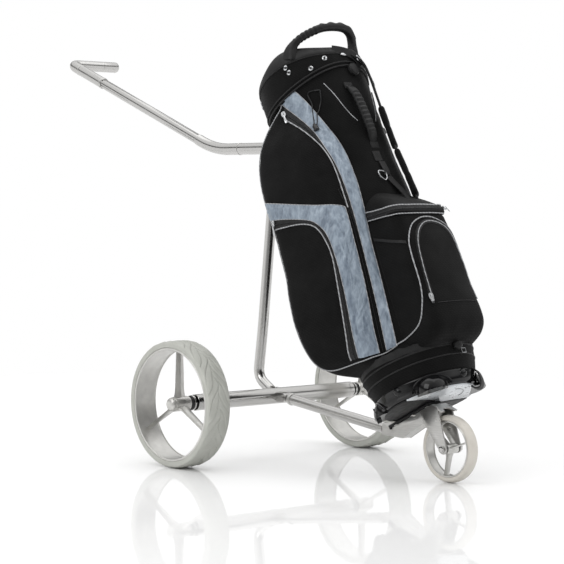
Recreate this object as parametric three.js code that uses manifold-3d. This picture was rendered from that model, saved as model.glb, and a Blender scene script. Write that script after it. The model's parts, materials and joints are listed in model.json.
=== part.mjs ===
// Golf bag on a three-wheeled push cart, in millimetres, +Z up.
// +X points forwards, towards the front wheel, and +Y to the cart's left.
// The pieces are drawn with the axle over x = 0; the last group moves the whole
// cart so that the origin is on the ground, at the centre of its bounding box.

import * as THREE from "three";
import { mergeVertices } from "three/addons/utils/BufferGeometryUtils.js";
import Module from "manifold-3d";

const wasm = await Module();
wasm.setup();

// ---------------------------------------------------------------- driving dimensions

const RUNNING_GAP = 0.4; // between pieces that touch
const WHEEL_RADIUS = 145; // rear tyre
const WHEEL_WIDTH = 63;
const HALF_TRACK = 292; // cart's centre to the middle of a rear wheel
const WHEELBASE = 572;
const FRONT_RADIUS = 73.5; // front tyre
const FRONT_WIDTH = 28;

const AXLE_RADIUS = 19;
const AXLE_HALF_LENGTH = 248;
const TUBE_WALL = 2;
const STUB_RADIUS = 6; // the pins that the rear wheels turn on

const FRAME_TUBE = 12.5; // radius of the post and of the strut
const HANDLE_TUBE = 14; // radius of the handle's lower part and elbow
const UPPER_TUBE = 12.5; // radius of the handle's straight upper tube
const GRIP_RADIUS = 14.5;

const PIVOT = [4, 733]; // x, z of the handle's tilt pin
const STRUT_PIN = [38, 144]; // x, z of the strut's fold pin
const HANDLE_BEND = [-222, 733];
const GRIP_CORNER = [-812, 965];
const SLEEVE_LENGTH = 150;
const GRIP_LENGTH = 148;

const BAG_FOOT = [513, 167]; // x, z of the middle of the bag's underside
const BAG_LEAN = THREE.MathUtils.degToRad(26.8); // back from upright
const BAG_RADIUS = 108;
const BAG_WALL = 4;
const BASE_RADIUS = 128;
const RIM_TOP = 858; // along the bag from its underside
const CUFF_FOOT = 776;
const SIDE_REACH = 190; // bag's centre to the face of a side pocket
const FRONT_REACH = 182; // bag's centre to the face of the front pocket

// ---------------------------------------------------------------- finishes

const finish = (color, roughness, metalness) =>
  new THREE.MeshStandardMaterial({ color, roughness, metalness });
const steel = finish(0xc9cbcc, 0.25, 1);
const brushedSteel = finish(0xb9bbbc, 0.4, 1);
const alloy = finish(0xbfc0bf, 0.45, 1);
const greyTyre = finish(0xb4b4ae, 0.75, 0);
const paleTyre = finish(0xc9c5bd, 0.6, 0);
const blackRubber = finish(0x151515, 0.8, 0);
const blackPlastic = finish(0x161617, 0.3, 0);
const glossPlastic = finish(0x0c0c0d, 0.1, 0);
const silverPlastic = finish(0xcfd3d6, 0.3, 0.4);
const bearingSteel = finish(0x9a9c9e, 0.3, 1);
const blackCloth = finish(0x1d1d1e, 0.9, 0);
const liningCloth = finish(0x2b2b2d, 0.9, 0);
const webbing = finish(0x141414, 0.85, 0);

// ---------------------------------------------------------------- solids

// A closed geometry as a solid for joining and cutting.
function solidOf(geometry) {
  const bare = geometry.index ? geometry.toNonIndexed() : geometry.clone();
  bare.deleteAttribute("normal");
  bare.deleteAttribute("uv");
  const merged = mergeVertices(bare, 1e-3);
  const mesh = new wasm.Mesh({
    numProp: 3,
    vertProperties: merged.attributes.position.array,
    triVerts: new Uint32Array(merged.index.array),
  });
  return new wasm.Manifold(mesh);
}

// A solid back as a geometry.
function geometryOf(solid) {
  const mesh = solid.getMesh();
  const geometry = new THREE.BufferGeometry();
  geometry.setAttribute("position", new THREE.BufferAttribute(mesh.vertProperties, 3));
  geometry.setIndex(new THREE.BufferAttribute(mesh.triVerts, 1));
  return geometry;
}

const joined = (first, ...others) =>
  geometryOf(others.reduce((sum, next) => sum.add(solidOf(next)), solidOf(first)));
const cut = (body, ...tools) =>
  geometryOf(tools.reduce((rest, tool) => rest.subtract(solidOf(tool)), solidOf(body)));
const common = (one, other) => geometryOf(solidOf(one).intersect(solidOf(other)));

// ---------------------------------------------------------------- shape helpers

const plan = (x, z, y = 0) => new THREE.Vector3(x, y, z); // a point by its side view

// A path of straight runs whose corners are rounded, starting each bend "reach" before it.
function bentPath(points, reach) {
  const path = new THREE.CurvePath();
  let start = points[0];
  for (let i = 1; i < points.length - 1; i += 1) {
    const corner = points[i];
    const into = corner.clone().sub(points[i - 1]).setLength(reach);
    const away = points[i + 1].clone().sub(corner).setLength(reach);
    const before = corner.clone().sub(into);
    const after = corner.clone().add(away);
    path.add(new THREE.LineCurve3(start, before));
    path.add(new THREE.QuadraticBezierCurve3(before, corner, after));
    start = after;
  }
  path.add(new THREE.LineCurve3(start, points.at(-1)));
  return path;
}

const straight = (from, to) => new THREE.LineCurve3(from, to);

// A solid with a round section along a path.
function rod(path, radius, steps = 1, sides = 18) {
  const section = new THREE.Shape(new THREE.EllipseCurve(0, 0, radius, radius).getPoints(sides));
  return new THREE.ExtrudeGeometry(section, { extrudePath: path, steps, bevelEnabled: false });
}

// A flat strip's solid along a path; the strip is "width" wide and "thick" thick.
function strip(path, thick, width, steps, corner = 2) {
  const section = roundedRectangle(width, thick, corner);
  return new THREE.ExtrudeGeometry(section, { extrudePath: path, steps, bevelEnabled: false });
}

function roundedRectangle(width, height, radius, segments = 2) {
  const shape = new THREE.Shape();
  const x = width / 2 - radius;
  const y = height / 2 - radius;
  shape.absarc(x, y, radius, 0, Math.PI / 2);
  shape.absarc(-x, y, radius, Math.PI / 2, Math.PI);
  shape.absarc(-x, -y, radius, Math.PI, 1.5 * Math.PI);
  shape.absarc(x, -y, radius, 1.5 * Math.PI, 2 * Math.PI);
  return new THREE.Shape(shape.getPoints(segments).slice(0, -1));
}

// A side-view outline of [x, z] points as a plate from y = low to y = high.
function sidePlate(outline, low, high) {
  const shape = new THREE.Shape(outline.map(([x, z]) => new THREE.Vector2(x, z)));
  const plate = new THREE.ExtrudeGeometry(shape, { depth: high - low, bevelEnabled: false });
  return plate.rotateX(Math.PI / 2).translate(0, high, 0);
}

const block = (x, y, z) =>
  new THREE.BoxGeometry(x[1] - x[0], y[1] - y[0], z[1] - z[0]).translate(
    (x[0] + x[1]) / 2,
    (y[0] + y[1]) / 2,
    (z[0] + z[1]) / 2,
  );

// A turned piece on the Y axis: the profile's points are [radius, y].
function turned(profile, segments = 36) {
  const points = profile.map(([radius, y]) => new THREE.Vector2(radius, y));
  return new THREE.LatheGeometry(points, segments);
}

// A ring on the Y axis from a closed section of [radius, y] points.
const ring = (section, segments = 36) => turned([...section, section[0]], segments);

const collar = (inner, outer, low, high, segments = 24) =>
  ring([[inner, low], [outer, low], [outer, high], [inner, high]], segments);

const pin = (radius, low, high, segments = 16) =>
  turned([[0, low], [radius, low], [radius, high], [0, high]], segments);

// ---------------------------------------------------------------- the cart's tree

const cart = new THREE.Group();

function place(parent, name, geometry, material) {
  const mesh = new THREE.Mesh(geometry, material);
  mesh.name = name;
  parent.add(mesh);
  return mesh;
}

// ---------------------------------------------------------------- axle and post

const SWAN_NECK = [plan(-14, 160), plan(-60, 186), plan(-44, 300), plan(-2, 687)];
const SWAN_REACH = 26;

function addAxle() {
  const bore = AXLE_RADIUS - TUBE_WALL;
  const axle = collar(bore, AXLE_RADIUS, -AXLE_HALF_LENGTH, AXLE_HALF_LENGTH);
  const middle = new THREE.Group();
  middle.position.z = WHEEL_RADIUS;
  place(middle, "axle_tube", axle, brushedSteel);
  for (const side of [-1, 1]) {
    const name = side < 0 ? "right_axle_pin" : "left_axle_pin";
    const low = AXLE_HALF_LENGTH + RUNNING_GAP;
    const stub = pin(STUB_RADIUS, low, HALF_TRACK + 21);
    place(middle, name, stub, steel).scale.y = side;
  }
  cart.add(middle);
}

function addPost() {
  const axleRoom = pin(AXLE_RADIUS + RUNNING_GAP, -60, 60, 24).translate(0, 0, WHEEL_RADIUS);
  const post = cut(rod(bentPath(SWAN_NECK, SWAN_REACH), FRAME_TUBE, 18), axleRoom);
  place(cart, "post_tube", post, steel);
}

// Two cheeks on the post's top hold the handle's pin, with a foot between them.
function addHead() {
  const [x, z] = PIVOT;
  const cheek = [];
  for (let i = 0; i <= 12; i += 1) {
    const angle = -0.2 + (Math.PI + 0.4) * (i / 12);
    cheek.push([x + 19 * Math.cos(angle), z + 19 * Math.sin(angle)]);
  }
  const outline = [...cheek, [-20, 689], [18, 689]];
  const half = HANDLE_TUBE + 0.8;
  const right = sidePlate(outline, -half - 5, -half);
  const left = sidePlate(outline, half, half + 5);
  const foot = block([-19, 17], [-half - 1, half + 1], [689, 697]);
  const pinRoom = pin(5.3, -40, 40).translate(x, 0, z);
  place(cart, "handle_bracket", cut(joined(right, left, foot), pinRoom), brushedSteel);
  const bolt = joined(pin(5, -21.6, 21.6), pin(8.5, -26, -21.2), pin(8.5, 21.2, 26));
  place(cart, "handle_tilt_pin", bolt.translate(x, 0, z), steel);
}

// ---------------------------------------------------------------- the bag's own frame

// Inside this group x runs forwards across the bag, y to the left and z along the bag.
const bag = new THREE.Group();
bag.position.set(BAG_FOOT[0], 0, BAG_FOOT[1]);
bag.rotation.y = -BAG_LEAN;
cart.add(bag);

// A turned piece on the bag's own axis, from [radius, height] points.
const turnedUp = (profile, segments = 36) => turned(profile, segments).rotateX(Math.PI / 2);
const bagRing = (inner, outer, low, high, segments = 36) =>
  turnedUp([[inner, low], [outer, low], [outer, high], [inner, high], [inner, low]], segments);

const SKIRT = [
  [BASE_RADIUS - 7, 16.4],
  [BASE_RADIUS - 7, 41],
  [BASE_RADIUS - 1, 42],
  [120, 72],
  [116, 88],
  [BAG_RADIUS + 2, 150],
  [BAG_RADIUS, 220],
  [BAG_RADIUS, 700],
  [BAG_RADIUS + 2, RIM_TOP - 34],
];

function bodyOutline(grow) {
  const wall = SKIRT.map(([radius, height]) => [radius + grow, height]);
  return turnedUp([[0, SKIRT[0][1]], ...wall, [0, SKIRT.at(-1)[1]]]);
}

// ---------------------------------------------------------------- bag holder on the post

const HOLDER = [640, 684]; // where the cradle lies along the bag

function addHolder() {
  const inner = BAG_RADIUS + 6;
  const cradle = bagRing(inner, inner + 5, HOLDER[0], HOLDER[1]);
  const part = block([-140, -60], [-52, 52], [HOLDER[0] - 5, HOLDER[1] + 5]);
  const toCart = (geometry) =>
    geometry.rotateY(-BAG_LEAN).translate(BAG_FOOT[0], 0, BAG_FOOT[1]);
  const arc = toCart(common(cradle, part));
  const arm = block([18.4, 128], [-9, 9], [690, 708]);
  const inside = toCart(turnedUp([[0, 500], [inner + 1, 500], [inner + 1, 800], [0, 800]]));
  place(cart, "bag_holder", joined(arc, cut(arm, inside)), brushedSteel);
  const pad = common(bagRing(BAG_RADIUS + 1.2, inner - 0.4, HOLDER[0], HOLDER[1]), part);
  place(cart, "holder_pad", toCart(pad), blackRubber);
}

// ---------------------------------------------------------------- front strut and fork

// A point of the bag's frame in the cart's side view.
function underBag(across, along) {
  const x = BAG_FOOT[0] + across * Math.cos(BAG_LEAN) - along * Math.sin(BAG_LEAN);
  const z = BAG_FOOT[1] + across * Math.sin(BAG_LEAN) + along * Math.cos(BAG_LEAN);
  return [x, z];
}

function circlePoints(x, z, radius, from, to, count) {
  const points = [];
  for (let i = 0; i <= count; i += 1) {
    const angle = THREE.MathUtils.degToRad(from + ((to - from) * i) / count);
    points.push([x + radius * Math.cos(angle), z + radius * Math.sin(angle)]);
  }
  return points;
}

function addStrutLug() {
  const [x, z] = STRUT_PIN;
  const stub = rod(straight(plan(12, z), plan(x - 17, z)), FRAME_TUBE);
  const outline = [[x - 20, z - 11], ...circlePoints(x, z, 11, -90, 90, 10), [x - 20, z + 11]];
  const cheeks = cut(sidePlate(outline, -12, 12), block([x - 14, 60], [-6.4, 6.4], [100, 190]));
  const axleRoom = pin(AXLE_RADIUS + RUNNING_GAP, -60, 60, 24).translate(0, 0, WHEEL_RADIUS);
  const pinRoom = pin(4.3, -40, 40).translate(x, 0, z);
  place(cart, "strut_lug", cut(joined(stub, cheeks), axleRoom, pinRoom), steel);
  const bolt = joined(pin(4, -12.8, 12.8), pin(6.5, -15.5, -12.4), pin(6.5, 12.4, 15.5));
  place(cart, "strut_pin", bolt.translate(x, 0, z), steel);
}

const STRUT_END = [373, 101];

function addStrut() {
  const [x, z] = STRUT_PIN;
  const slope = (STRUT_END[1] - z) / (STRUT_END[0] - x);
  const at = (ahead) => plan(x + ahead, z + ahead * slope);
  const tongue = joined(
    pin(10.5, -6, 6).translate(x, 0, z),
    sidePlate([[x, z - 8], [x + 24, z - 10.5], [x + 24, z + 4.5], [x, z + 8]], -6, 6),
  );
  const tube = rod(straight(at(16), plan(...STRUT_END)), FRAME_TUBE);
  const pinRoom = pin(4.3, -40, 40).translate(x, 0, z);
  const bore = rod(straight(at(30), plan(STRUT_END[0] + 60, STRUT_END[1] + 60 * slope)),
    FRAME_TUBE - TUBE_WALL);
  place(cart, "strut_tube", cut(joined(tongue, tube), pinRoom, bore), steel);
  const sleeve = cut(
    rod(straight(at(19), at(27)), FRAME_TUBE + 2.2, 1, 18),
    rod(straight(at(10), at(40)), FRAME_TUBE + RUNNING_GAP, 1, 18),
  );
  place(cart, "strut_lock_ring", sleeve, brushedSteel);
}

const PAD_TOP = -0.5; // the bag's underside rests on the pad
const BAR_TOP = -7;

function addRestBar() {
  const outline = [
    [STRUT_END[0] + 2.2, STRUT_END[1] + 12.5],
    [STRUT_END[0] + 2.2, STRUT_END[1] - 13.5],
    underBag(-103, -41),
    underBag(6, -33),
    underBag(12, BAR_TOP),
    underBag(-128, BAR_TOP),
  ];
  place(cart, "rest_bar", sidePlate(outline, -14, 14), brushedSteel);
  const pad = block([-122, 10], [-18, 18], [BAR_TOP + RUNNING_GAP, PAD_TOP]);
  const lip = block([-128, -122], [-18, 18], [BAR_TOP - 4, PAD_TOP]);
  const barRoom = block([-122.5, 20], [-30, 30], [-30, BAR_TOP + RUNNING_GAP]);
  const padGroup = new THREE.Group();
  padGroup.position.copy(bag.position);
  padGroup.rotation.copy(bag.rotation);
  const notch = block([-140, -100], [-14.4, 14.4], [-30, BAR_TOP + RUNNING_GAP]);
  place(padGroup, "rest_pad", cut(joined(pad, lip), barRoom, notch), blackRubber);
  cart.add(padGroup);
}

const ARM_INNER = 21;
const ARM_OUTER = 24.5;

function addFork() {
  const hub = [WHEELBASE, FRONT_RADIUS];
  const crown = [underBag(-18, -34), underBag(-16, -10), underBag(22, -10), underBag(36, -22)];
  const outline = [...crown, ...circlePoints(...hub, 11, 20, -160, 8)];
  const arms = [
    sidePlate(outline, -ARM_OUTER, -ARM_INNER),
    sidePlate(outline, ARM_INNER, ARM_OUTER),
  ];
  const bridge = [underBag(14, -10), underBag(22, -10), underBag(44, -34), underBag(40, -38),
    underBag(14, -18)];
  const plate = sidePlate(bridge, -ARM_INNER - 1, ARM_INNER + 1);
  const arch = pin(15, -20, 20, 24).rotateZ(Math.PI / 2);
  const [archX, archZ] = underBag(44, -40);
  const boltRoom = pin(4.3, -40, 40).translate(...[hub[0], 0, hub[1]]);
  const fork = cut(joined(arms[0], arms[1], plate), arch.translate(archX, 0, archZ), boltRoom);
  place(cart, "front_fork", fork, brushedSteel);
}

function addFrontAxle() {
  const front = new THREE.Group();
  front.position.set(WHEELBASE, 0, FRONT_RADIUS);
  const bolt = joined(pin(4, -ARM_OUTER - 1, ARM_OUTER + 8), pin(7.5, -ARM_OUTER - 5.4, -ARM_OUTER - 0.4));
  place(front, "front_axle_bolt", bolt, steel);
  const nut = collar(4.8, 8, ARM_OUTER + 0.4, ARM_OUTER + 7, 6);
  place(front, "front_axle_nut", nut, steel);
  const right = collar(4.4, 8, -ARM_INNER + 0.4, -17.4, 20);
  place(front, "front_spacer_right", right, blackPlastic);
  place(front, "front_spacer_left", collar(4.4, 8, 17.4, ARM_INNER - 0.4, 20), blackPlastic);
  cart.add(front);
}

// ---------------------------------------------------------------- wheels

// A rim with its hub and three blade spokes, on the Y axis.
function rim(size) {
  const { bore, hub, hubLow, hubHigh, inner, outer, half, lip, blade, thick } = size;
  const band = ring([
    [inner, -half],
    [outer, -half],
    [outer, half],
    [inner, half],
    [inner - lip, half - lip],
    [inner - lip, lip - half],
  ]);
  const core = collar(bore, hub, hubLow, hubHigh);
  const spokes = [];
  for (let i = 0; i < 3; i += 1) {
    const [root, tip] = blade;
    const outline = [[hub - 2, -root], [inner + 1, -tip], [inner + 1, tip], [hub - 2, root]];
    const spoke = new THREE.ExtrudeGeometry(
      new THREE.Shape(outline.map(([r, y]) => new THREE.Vector2(r, y))),
      { depth: thick, bevelEnabled: false },
    );
    const turn = Math.PI / 2 + (i * 2 * Math.PI) / 3;
    spokes.push(spoke.translate(0, (hubLow + hubHigh) / 2, -thick / 2).rotateY(-turn));
  }
  return joined(band, core, ...spokes);
}

function tyre(inner, outer, half, crown) {
  return ring([
    [inner, -half + 2],
    [outer - crown * 2.4, -half],
    [outer - crown, -half + crown * 1.2],
    [outer, -half * 0.45],
    [outer, half * 0.45],
    [outer - crown, half - crown * 1.2],
    [outer - crown * 2.4, half],
    [inner, half - 2],
  ], 44);
}

const HUB_LOW = -24; // inner end of the rear hub, from the wheel's middle
const HUB_HIGH = 20;

function addRearWheel(side) {
  const name = side < 0 ? "right" : "left";
  const wheel = new THREE.Group();
  wheel.position.set(0, side * HALF_TRACK, WHEEL_RADIUS);
  wheel.scale.y = side;
  const body = rim({
    bore: 13, hub: 17, hubLow: HUB_LOW, hubHigh: HUB_HIGH,
    inner: 126.5, outer: 129, half: 30, lip: 1.5, blade: [15, 10], thick: 7,
  });
  place(wheel, name + "_rim", body, alloy);
  const rubber = tyre(129 + RUNNING_GAP, WHEEL_RADIUS, WHEEL_WIDTH / 2, 3);
  place(wheel, name + "_tyre", rubber, greyTyre);
  const bearing = collar(STUB_RADIUS + RUNNING_GAP, 12.6, HUB_LOW + 3, HUB_HIGH - 1);
  place(wheel, name + "_bearing", bearing, bearingSteel);
  const cap = turned([[0, 23], [11, 23], [11, HUB_HIGH + 0.4], [15, HUB_HIGH + 0.4],
    [15, 24], [13, 28], [8, 30.5], [0, 31]], 24);
  place(wheel, name + "_hub_cap", cap, alloy);
  cart.add(wheel);
  const release = new THREE.Group();
  release.position.copy(wheel.position);
  release.scale.y = side;
  const innerEnd = AXLE_HALF_LENGTH - HALF_TRACK + 4.5;
  const grip = ring([[7, innerEnd], [14, innerEnd], [16, innerEnd + 3], [16, HUB_LOW - 4],
    [13, HUB_LOW - 0.5], [7, HUB_LOW - 0.5]], 24);
  place(release, name + "_release_collar", grip, blackPlastic);
  cart.add(release);
}

function addFrontWheel() {
  const wheel = new THREE.Group();
  wheel.position.set(WHEELBASE, 0, FRONT_RADIUS);
  const body = rim({
    bore: 8.4, hub: 11, hubLow: -17, hubHigh: 17,
    inner: 59.5, outer: 61.5, half: 13, lip: 1, blade: [11, 8], thick: 5,
  });
  place(wheel, "front_rim", body, alloy);
  const rubber = tyre(61.5 + RUNNING_GAP, FRONT_RADIUS, FRONT_WIDTH / 2, 2.4);
  place(wheel, "front_tyre", rubber, paleTyre);
  place(wheel, "front_bearing", collar(4.4, 8, -16, 16, 24), bearingSteel);
  cart.add(wheel);
}

// ---------------------------------------------------------------- handle

const upperDirection = plan(...GRIP_CORNER).sub(plan(...HANDLE_BEND)).normalize();
const alongUpper = (distance) =>
  plan(...GRIP_CORNER).addScaledVector(upperDirection, -distance);
const RING_X = -128; // where the lower tube meets the elbow
const ELBOW_REACH = 52;

function addHandle() {
  const [x, z] = PIVOT;
  const lower = rod(straight(plan(x + 15, z), plan(RING_X + 2.5, z)), HANDLE_TUBE, 1, 20);
  const pinRoom = pin(5.4, -40, 40).translate(x, 0, z);
  const bore = rod(straight(plan(x + 40, z), plan(RING_X - 40, z)), HANDLE_TUBE - TUBE_WALL, 1, 20);
  place(cart, "handle_lower_tube", cut(lower, bore, pinRoom), steel);
  const band = rod(straight(plan(RING_X + 2.1, z), plan(RING_X - 2.1, z)), HANDLE_TUBE + 0.6, 1, 20);
  place(cart, "handle_ring", band, brushedSteel);
  const elbowEnd = plan(...HANDLE_BEND).addScaledVector(upperDirection, ELBOW_REACH + 14);
  const elbowPath = bentPath([plan(RING_X - 2.5, z), plan(...HANDLE_BEND), elbowEnd], ELBOW_REACH);
  place(cart, "handle_elbow", rod(elbowPath, HANDLE_TUBE, 12, 20), steel);
  const from = elbowEnd.clone().addScaledVector(upperDirection, RUNNING_GAP);
  const to = alongUpper(SLEEVE_LENGTH);
  const hollow = rod(straight(elbowEnd, alongUpper(0)), UPPER_TUBE - TUBE_WALL, 1, 20);
  const upper = cut(rod(straight(from, to), UPPER_TUBE, 1, 20), hollow);
  place(cart, "handle_upper_tube", upper, steel);
}

function addGrip() {
  const corner = plan(...GRIP_CORNER);
  const sleeveEnd = alongUpper(SLEEVE_LENGTH - RUNNING_GAP);
  const barEnd = corner.clone().setY(GRIP_LENGTH - 52);
  const path = bentPath([sleeveEnd, corner, barEnd], 20);
  place(cart, "grip_corner_tube", rod(path, GRIP_RADIUS - 0.5, 16, 20), steel);
  const [x, z] = GRIP_CORNER;
  const end = new THREE.Group();
  end.position.set(x, 0, z);
  const low = GRIP_LENGTH - 52 + RUNNING_GAP;
  const cap = turned([[0, low], [GRIP_RADIUS - 0.5, low], [GRIP_RADIUS - 0.5, GRIP_LENGTH - 4],
    [GRIP_RADIUS - 2, GRIP_LENGTH - 1], [GRIP_RADIUS - 5, GRIP_LENGTH], [0, GRIP_LENGTH]], 20);
  place(end, "grip_end_sleeve", cap, steel);
  cart.add(end);
}

// ---------------------------------------------------------------- bag

function addBagBody() {
  const inner = SKIRT.slice(4).map(([radius, height]) => [radius - BAG_WALL, height]);
  const floor = SKIRT[0][1] + 5;
  const profile = [
    [0, SKIRT[0][1]],
    ...SKIRT,
    ...inner.reverse(),
    [112, floor],
    [0, floor],
  ];
  place(bag, "bag_body", turnedUp(profile), blackCloth);
}

function addBase() {
  const cup = turnedUp([
    [0, 3.4], [116, 3.4], [BASE_RADIUS - 4, 8], [BASE_RADIUS, 18], [BASE_RADIUS, 36],
    [BASE_RADIUS - 2, 40], [BASE_RADIUS - 6, 40], [BASE_RADIUS - 6, 16], [0, 16],
  ]);
  place(bag, "base_cup", cup, glossPlastic);
  place(bag, "base_plate", turnedUp([[0, 0], [112, 0], [115, 3], [0, 3]]), silverPlastic);
}

function addCuff() {
  const low = CUFF_FOOT;
  const high = RIM_TOP - 33;
  const inner = BAG_RADIUS + 2.5;
  const section = [[inner, low], [inner + 6, low], [inner + 8, (low + high) / 2],
    [inner + 7, high], [inner, high], [inner, low]];
  place(bag, "bag_cuff", turnedUp(section), blackCloth);
  const foot = high + RUNNING_GAP;
  const rimSection = [[104, foot], [117, foot], [119, foot + 16], [116, RIM_TOP - 3],
    [111, RIM_TOP], [106, RIM_TOP - 3], [104, foot + 16], [104, foot]];
  place(bag, "bag_rim", turnedUp(rimSection), blackPlastic);
}

const WALL_AT = 34; // the two cross walls' distance from the bag's centre

function addDivider() {
  const low = RIM_TOP - 32;
  const high = RIM_TOP - 8;
  const hoop = bagRing(97, 103.4, low, high);
  const bars = [-1, 1].map((side) =>
    block([side * WALL_AT - 3.5, side * WALL_AT + 3.5], [-96, 96], [low, high]));
  const spine = block([-99, 99], [-3.5, 3.5], [low, high]);
  place(bag, "club_divider", joined(hoop, bars[0], bars[1], spine), blackPlastic);
  for (const side of [-1, 1]) {
    const name = side > 0 ? "divider_wall_front" : "divider_wall_rear";
    const panel = block([side * WALL_AT - 1, side * WALL_AT + 1], [-94, 94], [24, low - 0.6]);
    place(bag, name, panel, liningCloth);
  }
}

// An outline of [across, along] points with its corners rounded.
function softOutline(points, reach) {
  const corners = [...points, points[0], points[1]].map(([x, y]) => new THREE.Vector3(x, y, 0));
  const curves = bentPath(corners, reach).curves.slice(1, -1);
  const around = curves.flatMap((curve) => curve.getPoints(curve.isLineCurve3 ? 1 : 4).slice(0, -1));
  return THREE.ShapeUtils.isClockWise(around) ? around.reverse() : around;
}

// A closed solid through rings of points, each end closed by a fan from its middle.
function lofted(rings) {
  const count = rings[0].length;
  const points = rings.flat();
  const faces = [];
  for (let level = 0; level < rings.length - 1; level += 1) {
    for (let i = 0; i < count; i += 1) {
      const a = level * count + i;
      const b = level * count + ((i + 1) % count);
      faces.push(a, b, b + count, a, b + count, a + count);
    }
  }
  const middle = (ring) =>
    ring.reduce((sum, point) => sum.clone().add(point)).divideScalar(count);
  const last = (rings.length - 1) * count;
  points.push(middle(rings[0]), middle(rings.at(-1)));
  for (let i = 0; i < count; i += 1) {
    const next = (i + 1) % count;
    faces.push(points.length - 2, next, i, points.length - 1, last + i, last + next);
  }
  const geometry = new THREE.BufferGeometry().setFromPoints(points);
  geometry.setIndex(faces);
  return geometry;
}

// A pocket: its outline pulled out along z from "root" to "face", with a soft outer edge.
function pocketBlock(outline, root, face, soft) {
  const middle = outline.reduce((sum, point) => sum.clone().add(point)).divideScalar(outline.length);
  const level = (height, inset) =>
    outline.map((point) => {
      const inward = middle.clone().sub(point);
      const moved = point.clone().addScaledVector(inward, inset / inward.length());
      return moved.setZ(height);
    });
  return lofted([
    level(root, 0),
    level(face - soft, 0),
    level(face - soft * 0.4, soft * 0.25),
    level(face, soft),
  ]);
}

const UPPER_POCKET = [[-30, 738], [4, 700], [32, 540], [-128, 540], [-122, 620], [-78, 716]];
const LOWER_POCKET = [[14, 102], [30, 536], [-130, 536], [-132, 300], [-126, 146], [-92, 102]];

function addSidePockets() {
  const bodyRoom = bodyOutline(RUNNING_GAP);
  for (const side of [-1, 1]) {
    const name = side < 0 ? "right" : "left";
    const mirror = side < 0 ? 1 : -1;
    const upper = pocketBlock(softOutline(UPPER_POCKET, 14), 60, SIDE_REACH - 12, 22);
    const lower = pocketBlock(softOutline(LOWER_POCKET, 26), 60, SIDE_REACH, 26);
    for (const [label, shape] of [["upper", upper], ["lower", lower]]) {
      const turnedOut = shape.rotateX(Math.PI / 2);
      const placed = mirror > 0 ? turnedOut : mirrored(turnedOut);
      place(bag, name + "_" + label + "_pocket", cut(placed, bodyRoom), blackCloth);
    }
  }
}

// The mirror image across the cart's middle plane, with its faces still pointing out.
function mirrored(geometry) {
  const bare = geometry.index ? geometry.toNonIndexed() : geometry;
  bare.scale(1, -1, 1);
  const positions = bare.attributes.position;
  for (let i = 0; i < positions.count; i += 3) {
    const second = new THREE.Vector3().fromBufferAttribute(positions, i + 1);
    const third = new THREE.Vector3().fromBufferAttribute(positions, i + 2);
    positions.setXYZ(i + 1, third.x, third.y, third.z);
    positions.setXYZ(i + 2, second.x, second.y, second.z);
  }
  return bare;
}

const FRONT_POCKET = [[-78, 104], [78, 104], [82, 250], [74, 404], [-74, 404], [-82, 250]];
const FLAP = [[70, 412], [158, 410], [150, 436], [112, 462], [70, 476]];

function addFrontPockets() {
  const bodyRoom = bodyOutline(RUNNING_GAP);
  const block3 = pocketBlock(softOutline(FRONT_POCKET, 24), 60, FRONT_REACH, 22);
  const facing = block3.rotateX(Math.PI / 2).rotateZ(Math.PI / 2);
  place(bag, "front_pocket", cut(facing, bodyRoom), blackCloth);
  const flap = pocketBlock(softOutline(FLAP, 8), -76, 76, 8).rotateX(Math.PI / 2);
  place(bag, "flap_pocket", cut(flap, bodyRoom), blackCloth);
}

const TOP_HANDLE = [[50, -98, 868], [56, -66, 888], [68, -20, 901], [70, 30, 902],
  [62, 76, 890], [54, 97, 868]];

function addTopHandle() {
  const path = new THREE.CatmullRomCurve3(TOP_HANDLE.map((point) => new THREE.Vector3(...point)));
  const arch = rod(path, 9.5, 14, 12);
  const feet = [TOP_HANDLE[0], TOP_HANDLE.at(-1)].map(([x, y]) =>
    block([x - 11, x + 11], [y - 12, y + 12], [RIM_TOP + 0.3, 874]));
  place(bag, "top_handle", joined(arch, feet[0], feet[1]), blackRubber);
}

const GRAB_HANDLE = [[113, 752], [121, 742], [129, 715], [130, 675], [127, 640], [119, 622], [112.5, 612]];
const SHOULDER_STRAP = [[124, 770], [133, 740], [142, 690], [147, 640], [149, 590], [146, 540],
  [138, 505], [126, 480]];
const STRAP_ASIDE = 46; // the strap's middle, left of the bag's centre

function addStraps() {
  const sideCurve = (points, aside) =>
    new THREE.CatmullRomCurve3(points.map(([x, z]) => new THREE.Vector3(x, aside, z)));
  const bodyRoom = joined(bodyOutline(RUNNING_GAP), turnedUp([[0, 760], [120, 760], [120, 860], [0, 860]]));
  const grab = strip(sideCurve(GRAB_HANDLE, 0), 8, 22, 14);
  place(bag, "grab_handle", cut(grab, bodyRoom), blackRubber);
  const pad = strip(sideCurve(SHOULDER_STRAP, STRAP_ASIDE), 12, 52, 16, 4);
  place(bag, "shoulder_strap", cut(pad, bodyRoom), blackCloth);
}

function addLowerStrap() {
  const loop = bagRing(123.5, 127.5, 76, 96, 40);
  place(bag, "lower_strap", loop, webbing);
}

// ---------------------------------------------------------------- the whole cart

addAxle();
addPost();
addHead();
addHolder();
addStrutLug();
addStrut();
addRestBar();
addFork();
addFrontAxle();
addRearWheel(-1);
addRearWheel(1);
addFrontWheel();
addHandle();
addGrip();
addBagBody();
addBase();
addCuff();
addDivider();
addSidePockets();
addFrontPockets();
addTopHandle();
addStraps();
addLowerStrap();

const REAR_END = GRIP_CORNER[0] - GRIP_RADIUS;
const FRONT_END = WHEELBASE + FRONT_RADIUS;
cart.position.x = -(REAR_END + FRONT_END) / 2;
const golfBagCart = new THREE.Group();
golfBagCart.add(cart);

export default golfBagCart;
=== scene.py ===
import json
import math

import bpy
from mathutils import Matrix, Vector, noise
from mathutils.bvhtree import BVHTree


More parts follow.
